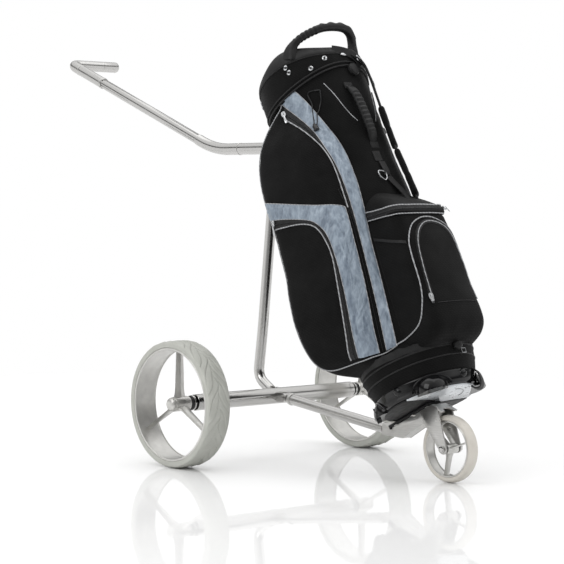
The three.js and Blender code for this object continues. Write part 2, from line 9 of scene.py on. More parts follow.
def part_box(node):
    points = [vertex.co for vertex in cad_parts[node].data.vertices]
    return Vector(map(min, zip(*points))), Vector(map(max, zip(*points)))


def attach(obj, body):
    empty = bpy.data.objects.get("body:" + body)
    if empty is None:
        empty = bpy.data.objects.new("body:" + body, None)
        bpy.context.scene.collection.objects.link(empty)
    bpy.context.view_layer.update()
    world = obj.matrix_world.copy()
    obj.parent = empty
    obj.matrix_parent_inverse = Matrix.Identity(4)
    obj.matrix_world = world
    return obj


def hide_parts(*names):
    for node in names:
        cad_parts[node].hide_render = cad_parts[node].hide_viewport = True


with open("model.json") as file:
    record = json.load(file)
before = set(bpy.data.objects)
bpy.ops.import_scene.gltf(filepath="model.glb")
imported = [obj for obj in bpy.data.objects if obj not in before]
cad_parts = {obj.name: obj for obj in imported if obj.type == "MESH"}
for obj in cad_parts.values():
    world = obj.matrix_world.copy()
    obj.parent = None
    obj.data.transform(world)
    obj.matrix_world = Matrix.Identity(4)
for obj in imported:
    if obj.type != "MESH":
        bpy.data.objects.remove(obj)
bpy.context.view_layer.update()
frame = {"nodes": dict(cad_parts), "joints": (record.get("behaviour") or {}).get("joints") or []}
MM = 0.001

# ------------------------------------------------------------------ the frame's own places

JOINTS = {joint["name"]: joint for joint in frame["joints"]}
BAG_AXIS = Vector(JOINTS["bag_lift"]["axis"]).normalized()
BAG_ACROSS = Vector((BAG_AXIS.z, 0, -BAG_AXIS.x))
plate_low, plate_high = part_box("base_plate")
PLATE_THICK = 3.0
BAG_FOOT = (plate_low + plate_high) / 2 - BAG_AXIS * PLATE_THICK / 2 * MM


def bag_matrix():
    """From the bag's own millimetres (across, left, along) to the row's metres."""
    turn = Matrix((BAG_ACROSS, Vector((0, 1, 0)), BAG_AXIS)).transposed().to_4x4()
    return Matrix.Translation(BAG_FOOT) @ turn @ Matrix.Scale(MM, 4)


BAG = bag_matrix()
BAG_BACK = BAG.inverted()
BAG_LEAN = math.acos(BAG_AXIS.z)
# The cart's own millimetres: x forward from the rear axle, y to the left, z up from the ground.
CART = Matrix.Translation((JOINTS["right_wheel_spin"]["pos_m"][0], 0, 0)) @ Matrix.Scale(MM, 4)


def wheel_matrix(joint, side=1):
    """A wheel's own millimetres, with its axle along Y and its outer face at +Y."""
    centre = Vector(JOINTS[joint]["pos_m"])
    return Matrix.Translation(centre) @ Matrix.Diagonal((MM, side * MM, MM, 1))


# ------------------------------------------------------------------ small modelling helpers


def only(piece):
    """Selects one object and makes it active."""
    if bpy.context.mode != "OBJECT":
        bpy.ops.object.mode_set(mode="OBJECT")
    bpy.ops.object.select_all(action="DESELECT")
    piece.select_set(True)
    bpy.context.view_layer.objects.active = piece
    return piece


def added(name):
    """The object that an add operator has just made, under its own name."""
    piece = bpy.context.active_object
    piece.name = name
    piece.data.name = name
    return piece


def edit(piece, *steps):
    """Runs edit-mode steps on the whole of a piece."""
    only(piece)
    bpy.ops.object.mode_set(mode="EDIT")
    bpy.ops.mesh.select_all(action="SELECT")
    for step in steps:
        step()
    bpy.ops.object.mode_set(mode="OBJECT")
    return piece


def outwards():
    bpy.ops.mesh.normals_make_consistent(inside=False)


def merge(distance=1e-4):
    return lambda: bpy.ops.mesh.remove_doubles(threshold=distance)


def modifier(piece, kind, **settings):
    """Adds a modifier, sets it and applies it."""
    only(piece)
    made = piece.modifiers.new(kind.title(), kind)
    for name, value in settings.items():
        setattr(made, name, value)
    bpy.ops.object.modifier_apply(modifier=made.name)
    return piece


def smooth(piece, degrees=40):
    only(piece)
    bpy.ops.object.shade_smooth_by_angle(angle=math.radians(degrees))
    return piece


def placed(piece, matrix):
    """Puts a piece's mesh into the row's metres; its object stays at the origin."""
    piece.data.transform(matrix)
    if matrix.determinant() < 0:
        piece.data.flip_normals()
    piece.matrix_world = Matrix.Identity(4)
    return piece


def join(pieces, name):
    only(pieces[0])
    for piece in pieces:
        piece.select_set(True)
    bpy.ops.object.join()
    return added(name)


def give(piece, body, material, slot, stands_for=()):
    """A finished piece gets its finish and rides on its CAD body."""
    piece.data.materials.clear()
    piece.data.materials.append(material)
    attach(piece, body)
    if stands_for:
        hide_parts(*stands_for)
    return piece


# ------------------------------------------------------------------ curves and outlines


def smooth_line(points, steps=8, closed=False):
    """A Catmull-Rom line through given points."""
    points = [Vector(point) for point in points]
    count = len(points)
    line = []
    spans = count if closed else count - 1
    for i in range(spans):
        if closed:
            a, b, c, d = (points[(i + k) % count] for k in (-1, 0, 1, 2))
        else:
            a, b = points[max(i - 1, 0)], points[i]
            c, d = points[i + 1], points[min(i + 2, count - 1)]
        for k in range(steps):
            t = k / steps
            line.append(
                0.5
                * (
                    2 * b
                    + (c - a) * t
                    + (2 * a - 5 * b + 4 * c - d) * t * t
                    + (3 * b - a - 3 * c + d) * t * t * t
                )
            )
    if not closed:
        line.append(points[-1])
    return line


def bend(start, corner, end, steps):
    """Points on the soft corner between two places."""
    shares = [k / steps for k in range(steps + 1)]
    return [start.lerp(corner, t).lerp(corner.lerp(end, t), t) for t in shares]


def evenly(line, count):
    """The same line with "count" points at equal spacing."""
    lengths = [0.0]
    for a, b in zip(line, line[1:]):
        lengths.append(lengths[-1] + (b - a).length)
    result, i = [], 0
    for k in range(count):
        wanted = lengths[-1] * k / (count - 1)
        while i < len(line) - 2 and lengths[i + 1] < wanted:
            i += 1
        span = lengths[i + 1] - lengths[i]
        share = (wanted - lengths[i]) / span if span else 0
        result.append(line[i].lerp(line[i + 1], min(1, share)))
    return result


def ease(t):
    t = max(0.0, min(1.0, t))
    return t * t * (3 - 2 * t)


# ------------------------------------------------------------------ surfaces from primitives


def grid_piece(name, across, along, place, round_trip=False):
    """A grid primitive whose points are moved by place(s, t), with s and t from 0 to 1."""
    bpy.ops.object.select_all(action="DESELECT")
    bpy.ops.mesh.primitive_grid_add(x_subdivisions=across, y_subdivisions=along, size=2)
    piece = added(name)
    for vertex in piece.data.vertices:
        vertex.co = place((vertex.co.x + 1) / 2, (vertex.co.y + 1) / 2)
    if round_trip:
        edit(piece, merge())
    return piece


def turned(name, profile, matrix, segments=96, axis="Y"):
    """A turned piece from [radius, height] points; the profile closes on itself or on the axis."""

    def place(s, t):
        radius, height = profile[round(t * (len(profile) - 1))]
        angle = 2 * math.pi * s
        x, z = radius * math.cos(angle), radius * math.sin(angle)
        return Vector((x, height, z)) if axis == "Y" else Vector((x, z, height))

    piece = grid_piece(name, segments, len(profile) - 1, place, round_trip=True)
    edit(piece, outwards)
    return placed(piece, matrix)


def cap_ends():
    """Edit-mode step: a face over each open end, with everything selected again after it."""
    bpy.ops.mesh.select_all(action="DESELECT")
    bpy.ops.mesh.select_mode(type="EDGE")
    bpy.ops.mesh.select_non_manifold(extend=False)
    bpy.ops.mesh.fill_holes(sides=0)
    bpy.ops.mesh.select_mode(type="VERT")
    bpy.ops.mesh.select_all(action="SELECT")


def lofted(name, rings, matrix):
    """A closed skin over closed rings of the same count."""
    count = len(rings[0])

    def place(s, t):
        ring = rings[round(t * (len(rings) - 1))]
        return ring[round(s * count) % count]

    piece = grid_piece(name, count, len(rings) - 1, place, round_trip=True)
    edit(piece, cap_ends, outwards)
    return placed(piece, matrix)


def tube(name, line, radius, matrix, closed=False, sides=12):
    """A round cord or rod along a line of points, with closed ends."""
    bpy.ops.object.select_all(action="DESELECT")
    bpy.ops.curve.primitive_nurbs_path_add()
    piece = added(name)
    curve = piece.data
    curve.splines.clear()
    spline = curve.splines.new("POLY")
    spline.points.add(len(line) - 1)
    for point, place in zip(spline.points, line):
        point.co = (*place, 1)
    spline.use_cyclic_u = closed
    curve.dimensions = "3D"
    curve.bevel_depth = radius
    curve.bevel_resolution = max(1, sides // 4 - 1)
    curve.use_fill_caps = not closed
    only(piece)
    bpy.ops.object.convert(target="MESH")
    piece = added(name)
    edit(piece, merge(1e-5), outwards)
    return placed(piece, matrix)


def bends(points, reach, steps=10):
    """Straight runs with rounded corners, as points."""
    points = [Vector(point) for point in points]
    line = [points[0]]
    for i in range(1, len(points) - 1):
        corner = points[i]
        start = corner + (points[i - 1] - corner).normalized() * reach
        end = corner + (points[i + 1] - corner).normalized() * reach
        line += bend(start, corner, end, steps)
    return [*line, points[-1]]


# ------------------------------------------------------------------ finishes


def linear(hex_colour):
    """An sRGB hex colour as linear RGBA."""
    levels = [int(hex_colour[i : i + 2], 16) / 255 for i in (1, 3, 5)]
    return (*(v / 12.92 if v <= 0.04045 else ((v + 0.055) / 1.055) ** 2.4 for v in levels), 1)


def add(material, kind, inputs, **settings):
    """Adds a node to a material or the world; an input is a value or another node's output."""
    made = material.node_tree.nodes.new("ShaderNode" + kind)
    for name, value in settings.items():
        setattr(made, name, value)
    for name, value in inputs.items():
        socket = made.inputs[name]
        if isinstance(value, bpy.types.NodeSocket):
            material.node_tree.links.new(value, socket)
        else:
            socket.default_value = value
    return made


def finish(name, **constants):
    """An empty material with its shader, whose sockets get the constant values."""
    material = bpy.data.materials.new(name)
    material.use_nodes = True
    shader = material.node_tree.nodes["Principled BSDF"]
    for socket, value in constants.items():
        shader.inputs[socket.replace("_", " ")].default_value = value
    place = add(material, "TexCoord", {}).outputs["Object"]
    return material, shader, place


def wire(material, output, socket):
    material.node_tree.links.new(output, socket)


def cell(size_mm):
    """A noise or cell scale whose features are about "size_mm" across, on metre coordinates."""
    return 1 / (size_mm * MM)


def bands(spacing_mm, direction):
    """A wave scale whose bands are "spacing_mm" apart along their own direction."""
    turn = 20 if direction != "DIAGONAL" else 10 * math.sqrt(3)
    return 2 * math.pi / turn * cell(spacing_mm)


def mottle(material, shader, place, socket, low, high, size_mm, detail=4):
    """Lets a number socket drift between two values over patches of the given size."""
    cloud = add(material, "TexNoise", {"Vector": place, "Scale": cell(size_mm), "Detail": detail})
    spread = add(material, "MapRange", {"Value": cloud.outputs["Fac"], "From Min": 0.3, "From Max": 0.7,
                                        "To Min": low, "To Max": high})
    wire(material, spread.outputs["Result"], shader.inputs[socket])


def tint(material, shader, factor, dark, light):
    """Base colour between two colours by a factor."""
    mix = add(material, "Mix", {0: factor, 6: linear(dark), 7: linear(light)}, data_type="RGBA")
    wire(material, mix.outputs[2], shader.inputs["Base Color"])


def raised(material, shader, height, depth_mm, strength=1.0, under=None):
    """Bump from a height between 0 and 1."""
    inputs = {"Height": height, "Distance": depth_mm * MM, "Strength": strength}
    if under is not None:
        inputs["Normal"] = under
    bump = add(material, "Bump", inputs)
    wire(material, bump.outputs["Normal"], shader.inputs["Normal"])
    return bump.outputs["Normal"]


def drawn_stainless():
    # Drawn and polished 304 stainless tube: a bright mirror softened by a very fine satin grain.
    material, shader, place = finish("drawn_stainless_satin_polish", Metallic=1.0)
    stretched = add(material, "Mapping", {"Vector": place, "Scale": (1, 14, 1)})
    # The polishing grain is about 0.1 mm; it is drawn at 2 mm so that it shows.
    grain = add(material, "TexNoise", {"Vector": stretched.outputs[0], "Scale": cell(2), "Detail": 3})
    tint(material, shader, grain.outputs["Fac"], "#b0afad", "#d4d3d1")
    mottle(material, shader, place, "Roughness", 0.17, 0.27, 60)
    raised(material, shader, grain.outputs["Fac"], 0.015, 0.12)
    return material


def brushed_stainless():
    # Belt-brushed stainless bar and sheet: duller than the tubes, with short lines one way.
    material, shader, place = finish("brushed_stainless_bar", Metallic=1.0)
    stretched = add(material, "Mapping", {"Vector": place, "Scale": (0.05, 1, 1)})
    # Belt lines are about 0.2 mm apart; they are drawn 1.5 mm apart so that they show.
    lines = add(material, "TexNoise", {"Vector": stretched.outputs[0], "Scale": cell(1.5), "Detail": 5})
    tint(material, shader, lines.outputs["Fac"], "#b0afad", "#dcdbd8")
    mottle(material, shader, place, "Roughness", 0.26, 0.4, 25)
    raised(material, shader, lines.outputs["Fac"], 0.05, 0.5)
    return material


def wheel_alloy():
    # Machined and clear-coated aluminium alloy: pale, satin, a little cooler than the tubes.
    material, shader, place = finish("clear_coated_aluminium", Metallic=0.85, Coat_Weight=0.3,
                                     Coat_Roughness=0.25)
    cloud = add(material, "TexNoise", {"Vector": place, "Scale": cell(18), "Detail": 5})
    tint(material, shader, cloud.outputs["Fac"], "#bdbcb9", "#dddcd8")
    mottle(material, shader, place, "Roughness", 0.3, 0.42, 30)
    cast = add(material, "TexNoise", {"Vector": place, "Scale": cell(1.6), "Detail": 2})
    raised(material, shader, cast.outputs["Fac"], 0.05, 0.4)
    return material


def grey_tyre():
    # Solid grey polyurethane tyre: matt, with a dry bloom and slightly darker dust in patches.
    material, shader, place = finish("grey_polyurethane_tyre", IOR=1.5)
    shader.inputs["Specular IOR Level"].default_value = 0.35
    patches = add(material, "TexNoise", {"Vector": place, "Scale": cell(35), "Detail": 6})
    tint(material, shader, patches.outputs["Fac"], "#a2a39c", "#bcbdb7")
    mottle(material, shader, place, "Roughness", 0.5, 0.68, 20)
    # Moulding grain is about 0.4 mm; it is drawn at 1.2 mm.
    grain = add(material, "TexNoise", {"Vector": place, "Scale": cell(1.2), "Detail": 3})
    raised(material, shader, grain.outputs["Fac"], 0.12, 0.35)
    return material


def pale_tyre():
    # Cream thermoplastic rubber tyre: smoother than the rear ones, with a soft shine.
    material, shader, place = finish("cream_thermoplastic_tyre", IOR=1.5)
    patches = add(material, "TexNoise", {"Vector": place, "Scale": cell(22), "Detail": 5})
    tint(material, shader, patches.outputs["Fac"], "#bbb6ad", "#cdc9c1")
    mottle(material, shader, place, "Roughness", 0.26, 0.42, 14)
    grain = add(material, "TexNoise", {"Vector": place, "Scale": cell(2.5), "Detail": 2})
    raised(material, shader, grain.outputs["Fac"], 0.06, 0.3)
    return material


def woven_polyester():
    # Black 600D oxford polyester: matt, with thick threads crossing and a little dust on top.
    material, shader, place = finish("black_oxford_polyester", IOR=1.45, Sheen_Weight=0.05,
                                     Sheen_Roughness=0.5)
    shader.inputs["Specular IOR Level"].default_value = 0.2
    turned_in = add(material, "Mapping", {"Vector": place, "Rotation": (0, BAG_LEAN, 0)})
    # Threads are about 0.5 mm apart; they are drawn 4 to 5 mm apart so that the weave shows.
    along, across = (
        add(material, "TexWave", {"Vector": turned_in.outputs[0], "Scale": bands(spacing, direction),
                                  "Distortion": wander, "Detail": 2, "Detail Scale": 2},
            bands_direction=direction)
        for direction, spacing, wander in (("Z", 4.42, 1.2), ("DIAGONAL", 5.11, 1.6))
    )
    weave = add(material, "Math", {0: along.outputs["Fac"], 1: across.outputs["Fac"]},
                operation="MULTIPLY")
    dust = add(material, "TexNoise", {"Vector": place, "Scale": cell(70), "Detail": 6})
    worn = add(material, "Math", {0: weave.outputs[0], 1: dust.outputs["Fac"]}, operation="MULTIPLY")
    tint(material, shader, worn.outputs[0], "#040404", "#161616")
    mottle(material, shader, place, "Roughness", 0.78, 0.95, 40)
    puckers = add(material, "TexNoise", {"Vector": place, "Scale": cell(28), "Detail": 3})
    soft = raised(material, shader, puckers.outputs["Fac"], 1.6, 0.35)
    raised(material, shader, weave.outputs[0], 0.35, 0.6, under=soft)
    return material


def satin_cloth():
    # Blue-grey polyester satin: a soft sheen that breaks up over fine lengthwise wrinkles; part of that sheen
    # is painted into the colour, lighter on the wrinkles' crests and darker in their hollows.
    material, shader, place = finish("blue_grey_satin_cloth", Sheen_Weight=0.35, Sheen_Roughness=0.35)
    shader.inputs["Specular IOR Level"].default_value = 0.5
    turned_in = add(material, "Mapping", {"Vector": place, "Rotation": (0, BAG_LEAN, 0),
                                          "Scale": (1.4, 1.4, 0.45)})
    folds = add(material, "TexNoise", {"Vector": turned_in.outputs[0], "Scale": cell(30), "Detail": 4,
                                       "Distortion": 1.1})
    creases = add(material, "TexNoise", {"Vector": turned_in.outputs[0], "Scale": cell(8), "Detail": 3,
                                         "Distortion": 0.6})
    both = add(material, "Mix", {0: 0.35, 2: folds.outputs["Fac"], 3: creases.outputs["Fac"]})
    spread = add(material, "MapRange", {"Value": both.outputs[0], "From Min": 0.36, "From Max": 0.64})
    # Painted sheen and painted shade: the colour follows the same fold noise as the bump below, lighter where
    # the wrinkles rise.
    tint(material, shader, spread.outputs[0], "#5b6775", "#919da9")
    mottle(material, shader, place, "Roughness", 0.34, 0.5, 9)
    soft = raised(material, shader, both.outputs[0], 2.6, 0.7)
    # Satin threads are about 0.1 mm apart, far too fine to show; bands 3.7 mm apart stand in for them.
    threads = add(material, "TexWave", {"Vector": place, "Scale": bands(3.71, "DIAGONAL"),
                                        "Distortion": 0.6}, bands_direction="DIAGONAL")
    raised(material, shader, threads.outputs["Fac"], 0.06, 0.35, under=soft)
    return material


def piping_cloth():
    # Silver-grey coated piping: smooth cord with a faint stitched pitch along it. Its stitches are
    # about 2.5 mm long; they are drawn 5.6 mm long so that they show.
    material, shader, place = finish("silver_grey_piping", IOR=1.5, Sheen_Weight=0.2)
    pitch = add(material, "TexWave", {"Vector": place, "Scale": bands(5.57, "DIAGONAL"),
                                      "Distortion": 0.4}, bands_direction="DIAGONAL")
    tint(material, shader, pitch.outputs["Fac"], "#7d7e81", "#a3a4a6")
    mottle(material, shader, place, "Roughness", 0.4, 0.55, 12)
    raised(material, shader, pitch.outputs["Fac"], 0.25, 0.4)
    return material


def nylon_webbing():
    # Woven nylon webbing and binding tape: close ribs and a dull sheen. The ribs are about 1.5 mm
    # apart; they are drawn 3.5 mm apart so that they show.
    material, shader, place = finish("black_nylon_webbing", Sheen_Weight=0.04, Sheen_Roughness=0.4)
    ribs = add(material, "TexWave", {"Vector": place, "Scale": bands(3.48, "DIAGONAL"),
                                     "Distortion": 0.5}, bands_direction="DIAGONAL")
    tint(material, shader, ribs.outputs["Fac"], "#050505", "#151516")
    mottle(material, shader, place, "Roughness", 0.6, 0.78, 15)
    raised(material, shader, ribs.outputs["Fac"], 0.3, 0.5)
    return material


def brushed_lining():
    # Charcoal brushed lining cloth inside the mouth and on the cross walls.
    material, shader, place = finish("charcoal_brushed_lining", Sheen_Weight=0.3, Sheen_Roughness=0.6)
    nap = add(material, "TexNoise", {"Vector": place, "Scale": cell(3), "Detail": 5})
    tint(material, shader, nap.outputs["Fac"], "#1c1c1e", "#38383b")
    mottle(material, shader, place, "Roughness", 0.85, 0.97, 30)
    raised(material, shader, nap.outputs["Fac"], 0.4, 0.5)
    return material


def black_rubber():
    # Soft moulded rubber: matt black with a fine spark-eroded grain.
    material, shader, place = finish("soft_black_rubber", IOR=1.5)
    shader.inputs["Specular IOR Level"].default_value = 0.4
    grain = add(material, "TexNoise", {"Vector": place, "Scale": cell(1.2), "Detail": 3})
    tint(material, shader, grain.outputs["Fac"], "#080808", "#161617")
    mottle(material, shader, place, "Roughness", 0.45, 0.62, 12)
    raised(material, shader, grain.outputs["Fac"], 0.12, 0.5)
    return material


def black_nylon():
    # Injection-moulded black nylon: a low shine with slight flow marks.
    material, shader, place = finish("moulded_black_nylon", IOR=1.53)
    flow = add(material, "TexNoise", {"Vector": place, "Scale": cell(12), "Detail": 4, "Distortion": 0.8})
    tint(material, shader, flow.outputs["Fac"], "#101011", "#1f1f21")
    mottle(material, shader, place, "Roughness", 0.25, 0.4, 10)
    raised(material, shader, flow.outputs["Fac"], 0.1, 0.3)
    return material


def gloss_abs():
    # High-gloss black ABS: a clear mirror with light handling haze.
    material, shader, place = finish("gloss_black_abs", IOR=1.5, Coat_Weight=0.15, Coat_Roughness=0.04)
    shader.inputs["Specular IOR Level"].default_value = 0.32
    haze = add(material, "TexNoise", {"Vector": place, "Scale": cell(25), "Detail": 6})
    tint(material, shader, haze.outputs["Fac"], "#080809", "#131314")
    mottle(material, shader, place, "Roughness", 0.07, 0.16, 25)
    sink = add(material, "TexNoise", {"Vector": place, "Scale": cell(40), "Detail": 1})
    raised(material, shader, sink.outputs["Fac"], 0.5, 0.2)
    return material


def silver_abs():
    # Silver-painted ABS: pale metallic paint with very small flakes under a satin lacquer.
    material, shader, place = finish("silver_painted_abs", Metallic=0.45, Coat_Weight=0.4,
                                     Coat_Roughness=0.15)
    # Flakes are about 0.05 mm; they are drawn at 0.8 mm.
    flakes = add(material, "TexVoronoi", {"Vector": place, "Scale": cell(0.8)})
    tint(material, shader, flakes.outputs["Color"], "#bfc4c8", "#dcdfe2")
    mottle(material, shader, place, "Roughness", 0.24, 0.36, 18)
    raised(material, shader, flakes.outputs["Distance"], 0.02, 0.3)
    return material


def bright_zinc():
    # Nickel-plated zinc: pullers, rings and eyelets, bright with small casting ripples.
    material, shader, place = finish("nickel_plated_zinc", Metallic=1.0)
    ripple = add(material, "TexNoise", {"Vector": place, "Scale": cell(4), "Detail": 3})
    tint(material, shader, ripple.outputs["Fac"], "#a9abae", "#dddedf")
    mottle(material, shader, place, "Roughness", 0.14, 0.26, 6)
    raised(material, shader, ripple.outputs["Fac"], 0.08, 0.4)
    return material


def bearing_steel():
    # Ground bearing steel with a thin film of grease.
    material, shader, place = finish("ground_bearing_steel", Metallic=1.0, Coat_Weight=0.3)
    ground = add(material, "TexNoise", {"Vector": place, "Scale": cell(3), "Detail": 4})
    tint(material, shader, ground.outputs["Fac"], "#77797b", "#a7a9ab")
    mottle(material, shader, place, "Roughness", 0.2, 0.34, 5)
    raised(material, shader, ground.outputs["Fac"], 0.04, 0.4)
    return material


STEEL = drawn_stainless()
BRUSHED = brushed_stainless()
ALLOY = wheel_alloy()
GREY_RUBBER = grey_tyre()
CREAM_RUBBER = pale_tyre()
CLOTH = woven_polyester()
SATIN = satin_cloth()
PIPING = piping_cloth()
WEBBING = nylon_webbing()
LINING = brushed_lining()
RUBBER = black_rubber()
NYLON = black_nylon()
GLOSS = gloss_abs()
SILVER = silver_abs()
ZINC = bright_zinc()
BEARING = bearing_steel()

CAD_FINISH = {
    "polished_steel": STEEL,
    "brushed_steel": BRUSHED,
    "wheel_alloy": ALLOY,
    "grey_tyre": GREY_RUBBER,
    "pale_tyre": CREAM_RUBBER,
    "bearing_steel": BEARING,
    "black_rubber": RUBBER,
    "black_plastic": NYLON,
    "gloss_plastic": GLOSS,
    "silver_plastic": SILVER,
    "black_cloth": CLOTH,
    "lining_cloth": LINING,
    "webbing": WEBBING,
}


# ------------------------------------------------------------------ plates and blocks


def plate(name, outline, low, high, matrix, bevel=0.6, segments=2):
    """A flat plate with the given (x, z) outline between two y values, its edges softened."""
    bpy.ops.object.select_all(action="DESELECT")
    bpy.ops.mesh.primitive_circle_add(vertices=len(outline), radius=1, fill_type="NGON")
    piece = added(name)
    for vertex, (x, z) in zip(piece.data.vertices, outline):
        vertex.co = (x, low, z)
    step = {"value": (0, high - low, 0)}
    edit(piece, lambda: bpy.ops.mesh.extrude_region_move(TRANSFORM_OT_translate=step), outwards)
    if bevel:
        modifier(piece, "BEVEL", width=bevel, segments=segments, limit_method="ANGLE")
    return placed(piece, matrix)


def arc(x, z, radius, start, end, count):
    """Points on an arc, with its angles in degrees."""
    turn = [math.radians(start + (end - start) * i / count) for i in range(count + 1)]
    return [(x + radius * math.cos(a), z + radius * math.sin(a)) for a in turn]


def block(name, size, centre, matrix, bevel=0.6, segments=2):
    """A box with softened edges."""
    bpy.ops.object.select_all(action="DESELECT")
    bpy.ops.mesh.primitive_cube_add(size=1, location=(0, 0, 0))
    piece = added(name)
    spot = Vector(centre)
    for vertex in piece.data.vertices:
        vertex.co = Vector(a * b for a, b in zip(vertex.co, size)) + spot
    if bevel:
        modifier(piece, "BEVEL", width=bevel, segments=segments)
    return placed(piece, matrix)


def facing(at, out, up):
    """A matrix at a point whose x runs across, y points out of the surface and z runs up it."""
    out = Vector(out).normalized()
    up = (Vector(up) - out * Vector(up).dot(out)).normalized()
    across = out.cross(up)
    turn = Matrix((across, out, up)).transposed().to_4x4()
    return Matrix.Translation(at) @ turn


# ------------------------------------------------------------------ the cart's steelwork

WHEEL_RADIUS = JOINTS["right_wheel_spin"]["pos_m"][2] / MM
WHEELBASE = (JOINTS["front_wheel_spin"]["pos_m"][0] - JOINTS["right_wheel_spin"]["pos_m"][0]) / MM
FRONT_RADIUS = JOINTS["front_wheel_spin"]["pos_m"][2] / MM
AXLE_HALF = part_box("axle_tube")[1].y / MM
AXLE_AT = CART @ Matrix.Translation((0, 0, WHEEL_RADIUS))
BEND = Vector((-222, 0, 733))
CORNER = Vector((-812, 0, 965))
UPWARD = (CORNER - BEND).normalized()


def underbag(across, along):
    """A bag point in the cart's side view, in the cart's own millimetres."""
    spot = CART.inverted() @ BAG @ Vector((across, 0, along))
    return spot.x, spot.z


def make_axle():
    end = AXLE_HALF
    outer = [(18.2, -end), (19, -end + 0.8), (19, -end + 14), (18.5, -end + 14.6), (19, -end + 15.2)]
    mirror = [(radius, -height) for radius, height in reversed(outer)]
    profile = [(17, -end), *outer, *mirror, (17, end), (17, -end)]
    piece = smooth(turned("axle_tube_bright", profile, AXLE_AT, 96), 25)
    give(piece, "frame", STEEL, "polished_steel", ["axle_tube"])


def make_post():
    neck = [(-14, 0, 158), (-60, 0, 186), (-44, 0, 300), (-2, 0, 686)]
    piece = smooth(tube("post_tube_bent", bends(neck, 26, 14), 12.5, CART, sides=48), 50)
    give(piece, "frame", STEEL, "polished_steel", ["post_tube"])


def make_weld():
    """The weld bead where the post meets the axle tube, in small overlapping ripples."""
    points, ripples, over_axle = 96, 24, 20.2
    line = []
    for i in range(points):
        a = 2 * math.pi * i / points
        wave = 0.25 * math.sin(a * ripples)
        x, y = (14.2 + wave) * math.cos(a), (13.6 + wave) * math.sin(a)
        lift = math.sqrt(max(0, over_axle**2 - min(over_axle, abs(x - 6)) ** 2))
        line.append(Vector((x - 10, y, WHEEL_RADIUS + lift - 1.5)))
    bead = smooth(tube("post_weld_bead", line, 1.7, CART, closed=True, sides=8), 60)
    give(bead, "frame", BRUSHED, "brushed_steel")


def make_strut():
    joint, end = Vector((38, 0, 144)), Vector((373, 0, 101))
    lock_length = 16
    slope = (end.z - joint.z) / (end.x - joint.x)
    start = joint + Vector((lock_length, 0, lock_length * slope))
    piece = smooth(tube("strut_tube_round", [start, start.lerp(end, 0.5), end], 12.7, CART, sides=48), 50)
    give(piece, "strut", STEEL, "polished_steel")
    ring = [(12.6, 0), (14.4, 0.5), (14.8, 2), (14.8, 6), (14.4, 7.5), (12.6, 8), (12.6, 0)]
    aim = (end - start).normalized()
    at = CART @ facing(start + aim * 3, aim, (0, 0, 1))
    lock = smooth(turned("strut_lock_sleeve", ring, at, 64), 30)
    give(lock, "strut", BRUSHED, "brushed_steel", ["strut_lock_ring"])


def make_rest_bar():
    outline = [(375.2, 113.5), (375.2, 87.5), underbag(-103, -41), underbag(6, -33)]
    outline += [underbag(10, -30), underbag(12, -26), underbag(12, -7), underbag(-128, -7)]
    bar = smooth(plate("rest_bar_folded", outline, -14, 14, CART, bevel=1.4, segments=3), 30)
    give(bar, "strut", BRUSHED, "brushed_steel", ["rest_bar"])
    pad = [(-128, -0.6), (-127, -10.5), (-122.6, -10.5), (-122.6, -6.6), (10, -6.6), (10, -0.6)]
    strip = smooth(plate("rest_pad_strip", pad, -18, 18, BAG, bevel=1.2, segments=3), 30)
    give(strip, "strut", RUBBER, "black_rubber", ["rest_pad"])
    for number, across in enumerate((-104, -48, 2)):
        screw = block(f"rest_pad_screw_{number}", (9, 9, 1.6), (across, -15.2, -8.2), BAG, bevel=0.7)
        give(smooth(screw), "strut", BRUSHED, "brushed_steel")


def make_fork():
    hub = (WHEELBASE, FRONT_RADIUS)
    foot = arc(*hub, 11, 20, -160, 16)
    crown = [underbag(-18, -34), underbag(-17, -14), underbag(-14, -10.4)]
    crown += [underbag(20, -10.4), underbag(23, -11.5), underbag(36, -22)]
    arms = [
        plate("fork_arm_right", [*crown, *foot], -24.5, -21, CART, bevel=0.8),
        plate("fork_arm_left", [*crown, *foot], 21, 24.5, CART, bevel=0.8),
    ]
    top = [underbag(-14, -10.4), underbag(22, -10.4), underbag(22, -14), underbag(-14, -14)]
    arms.append(plate("fork_top", top, -22.5, 22.5, CART, bevel=0.8))
    lip = Vector((*underbag(22, -10.4), 0)).xzy
    toe = Vector((*underbag(46, -36), 0)).xzy
    down = (toe - lip).normalized()
    out = Vector((0, 1, 0)).cross(down)
    out = out if out.x > 0 else -out
    drop = (toe - lip).length
    face = [(-24.5, 0), *arc(0, 0, 15.5, 180, 0, 20), (24.5, 0), (24.5, drop - 3), (21.5, drop)]
    face += [(-21.5, drop), (-24.5, drop - 3)]
    arms.append(plate("fork_face", face, -3.4, 0, CART @ facing(toe, out, -down), bevel=0.8))
    fork = smooth(join(arms, "front_fork_folded"), 35)
    give(fork, "strut", BRUSHED, "brushed_steel", ["front_fork"])
    front = CART @ Matrix.Translation((WHEELBASE, 0, FRONT_RADIUS))
    head = [(0, 0), (7.2, 0), (7.6, 0.5), (7.6, 4), (6.8, 5), (4.4, 5), (4, 4.4), (3.6, 2.6), (0, 2.6)]
    bolt = smooth(turned("front_bolt_head", head, front @ Matrix.Translation((0, -24.9, 0))
                         @ Matrix.Rotation(math.pi, 4, "X"), 48), 30)
    give(bolt, "strut", STEEL, "polished_steel")


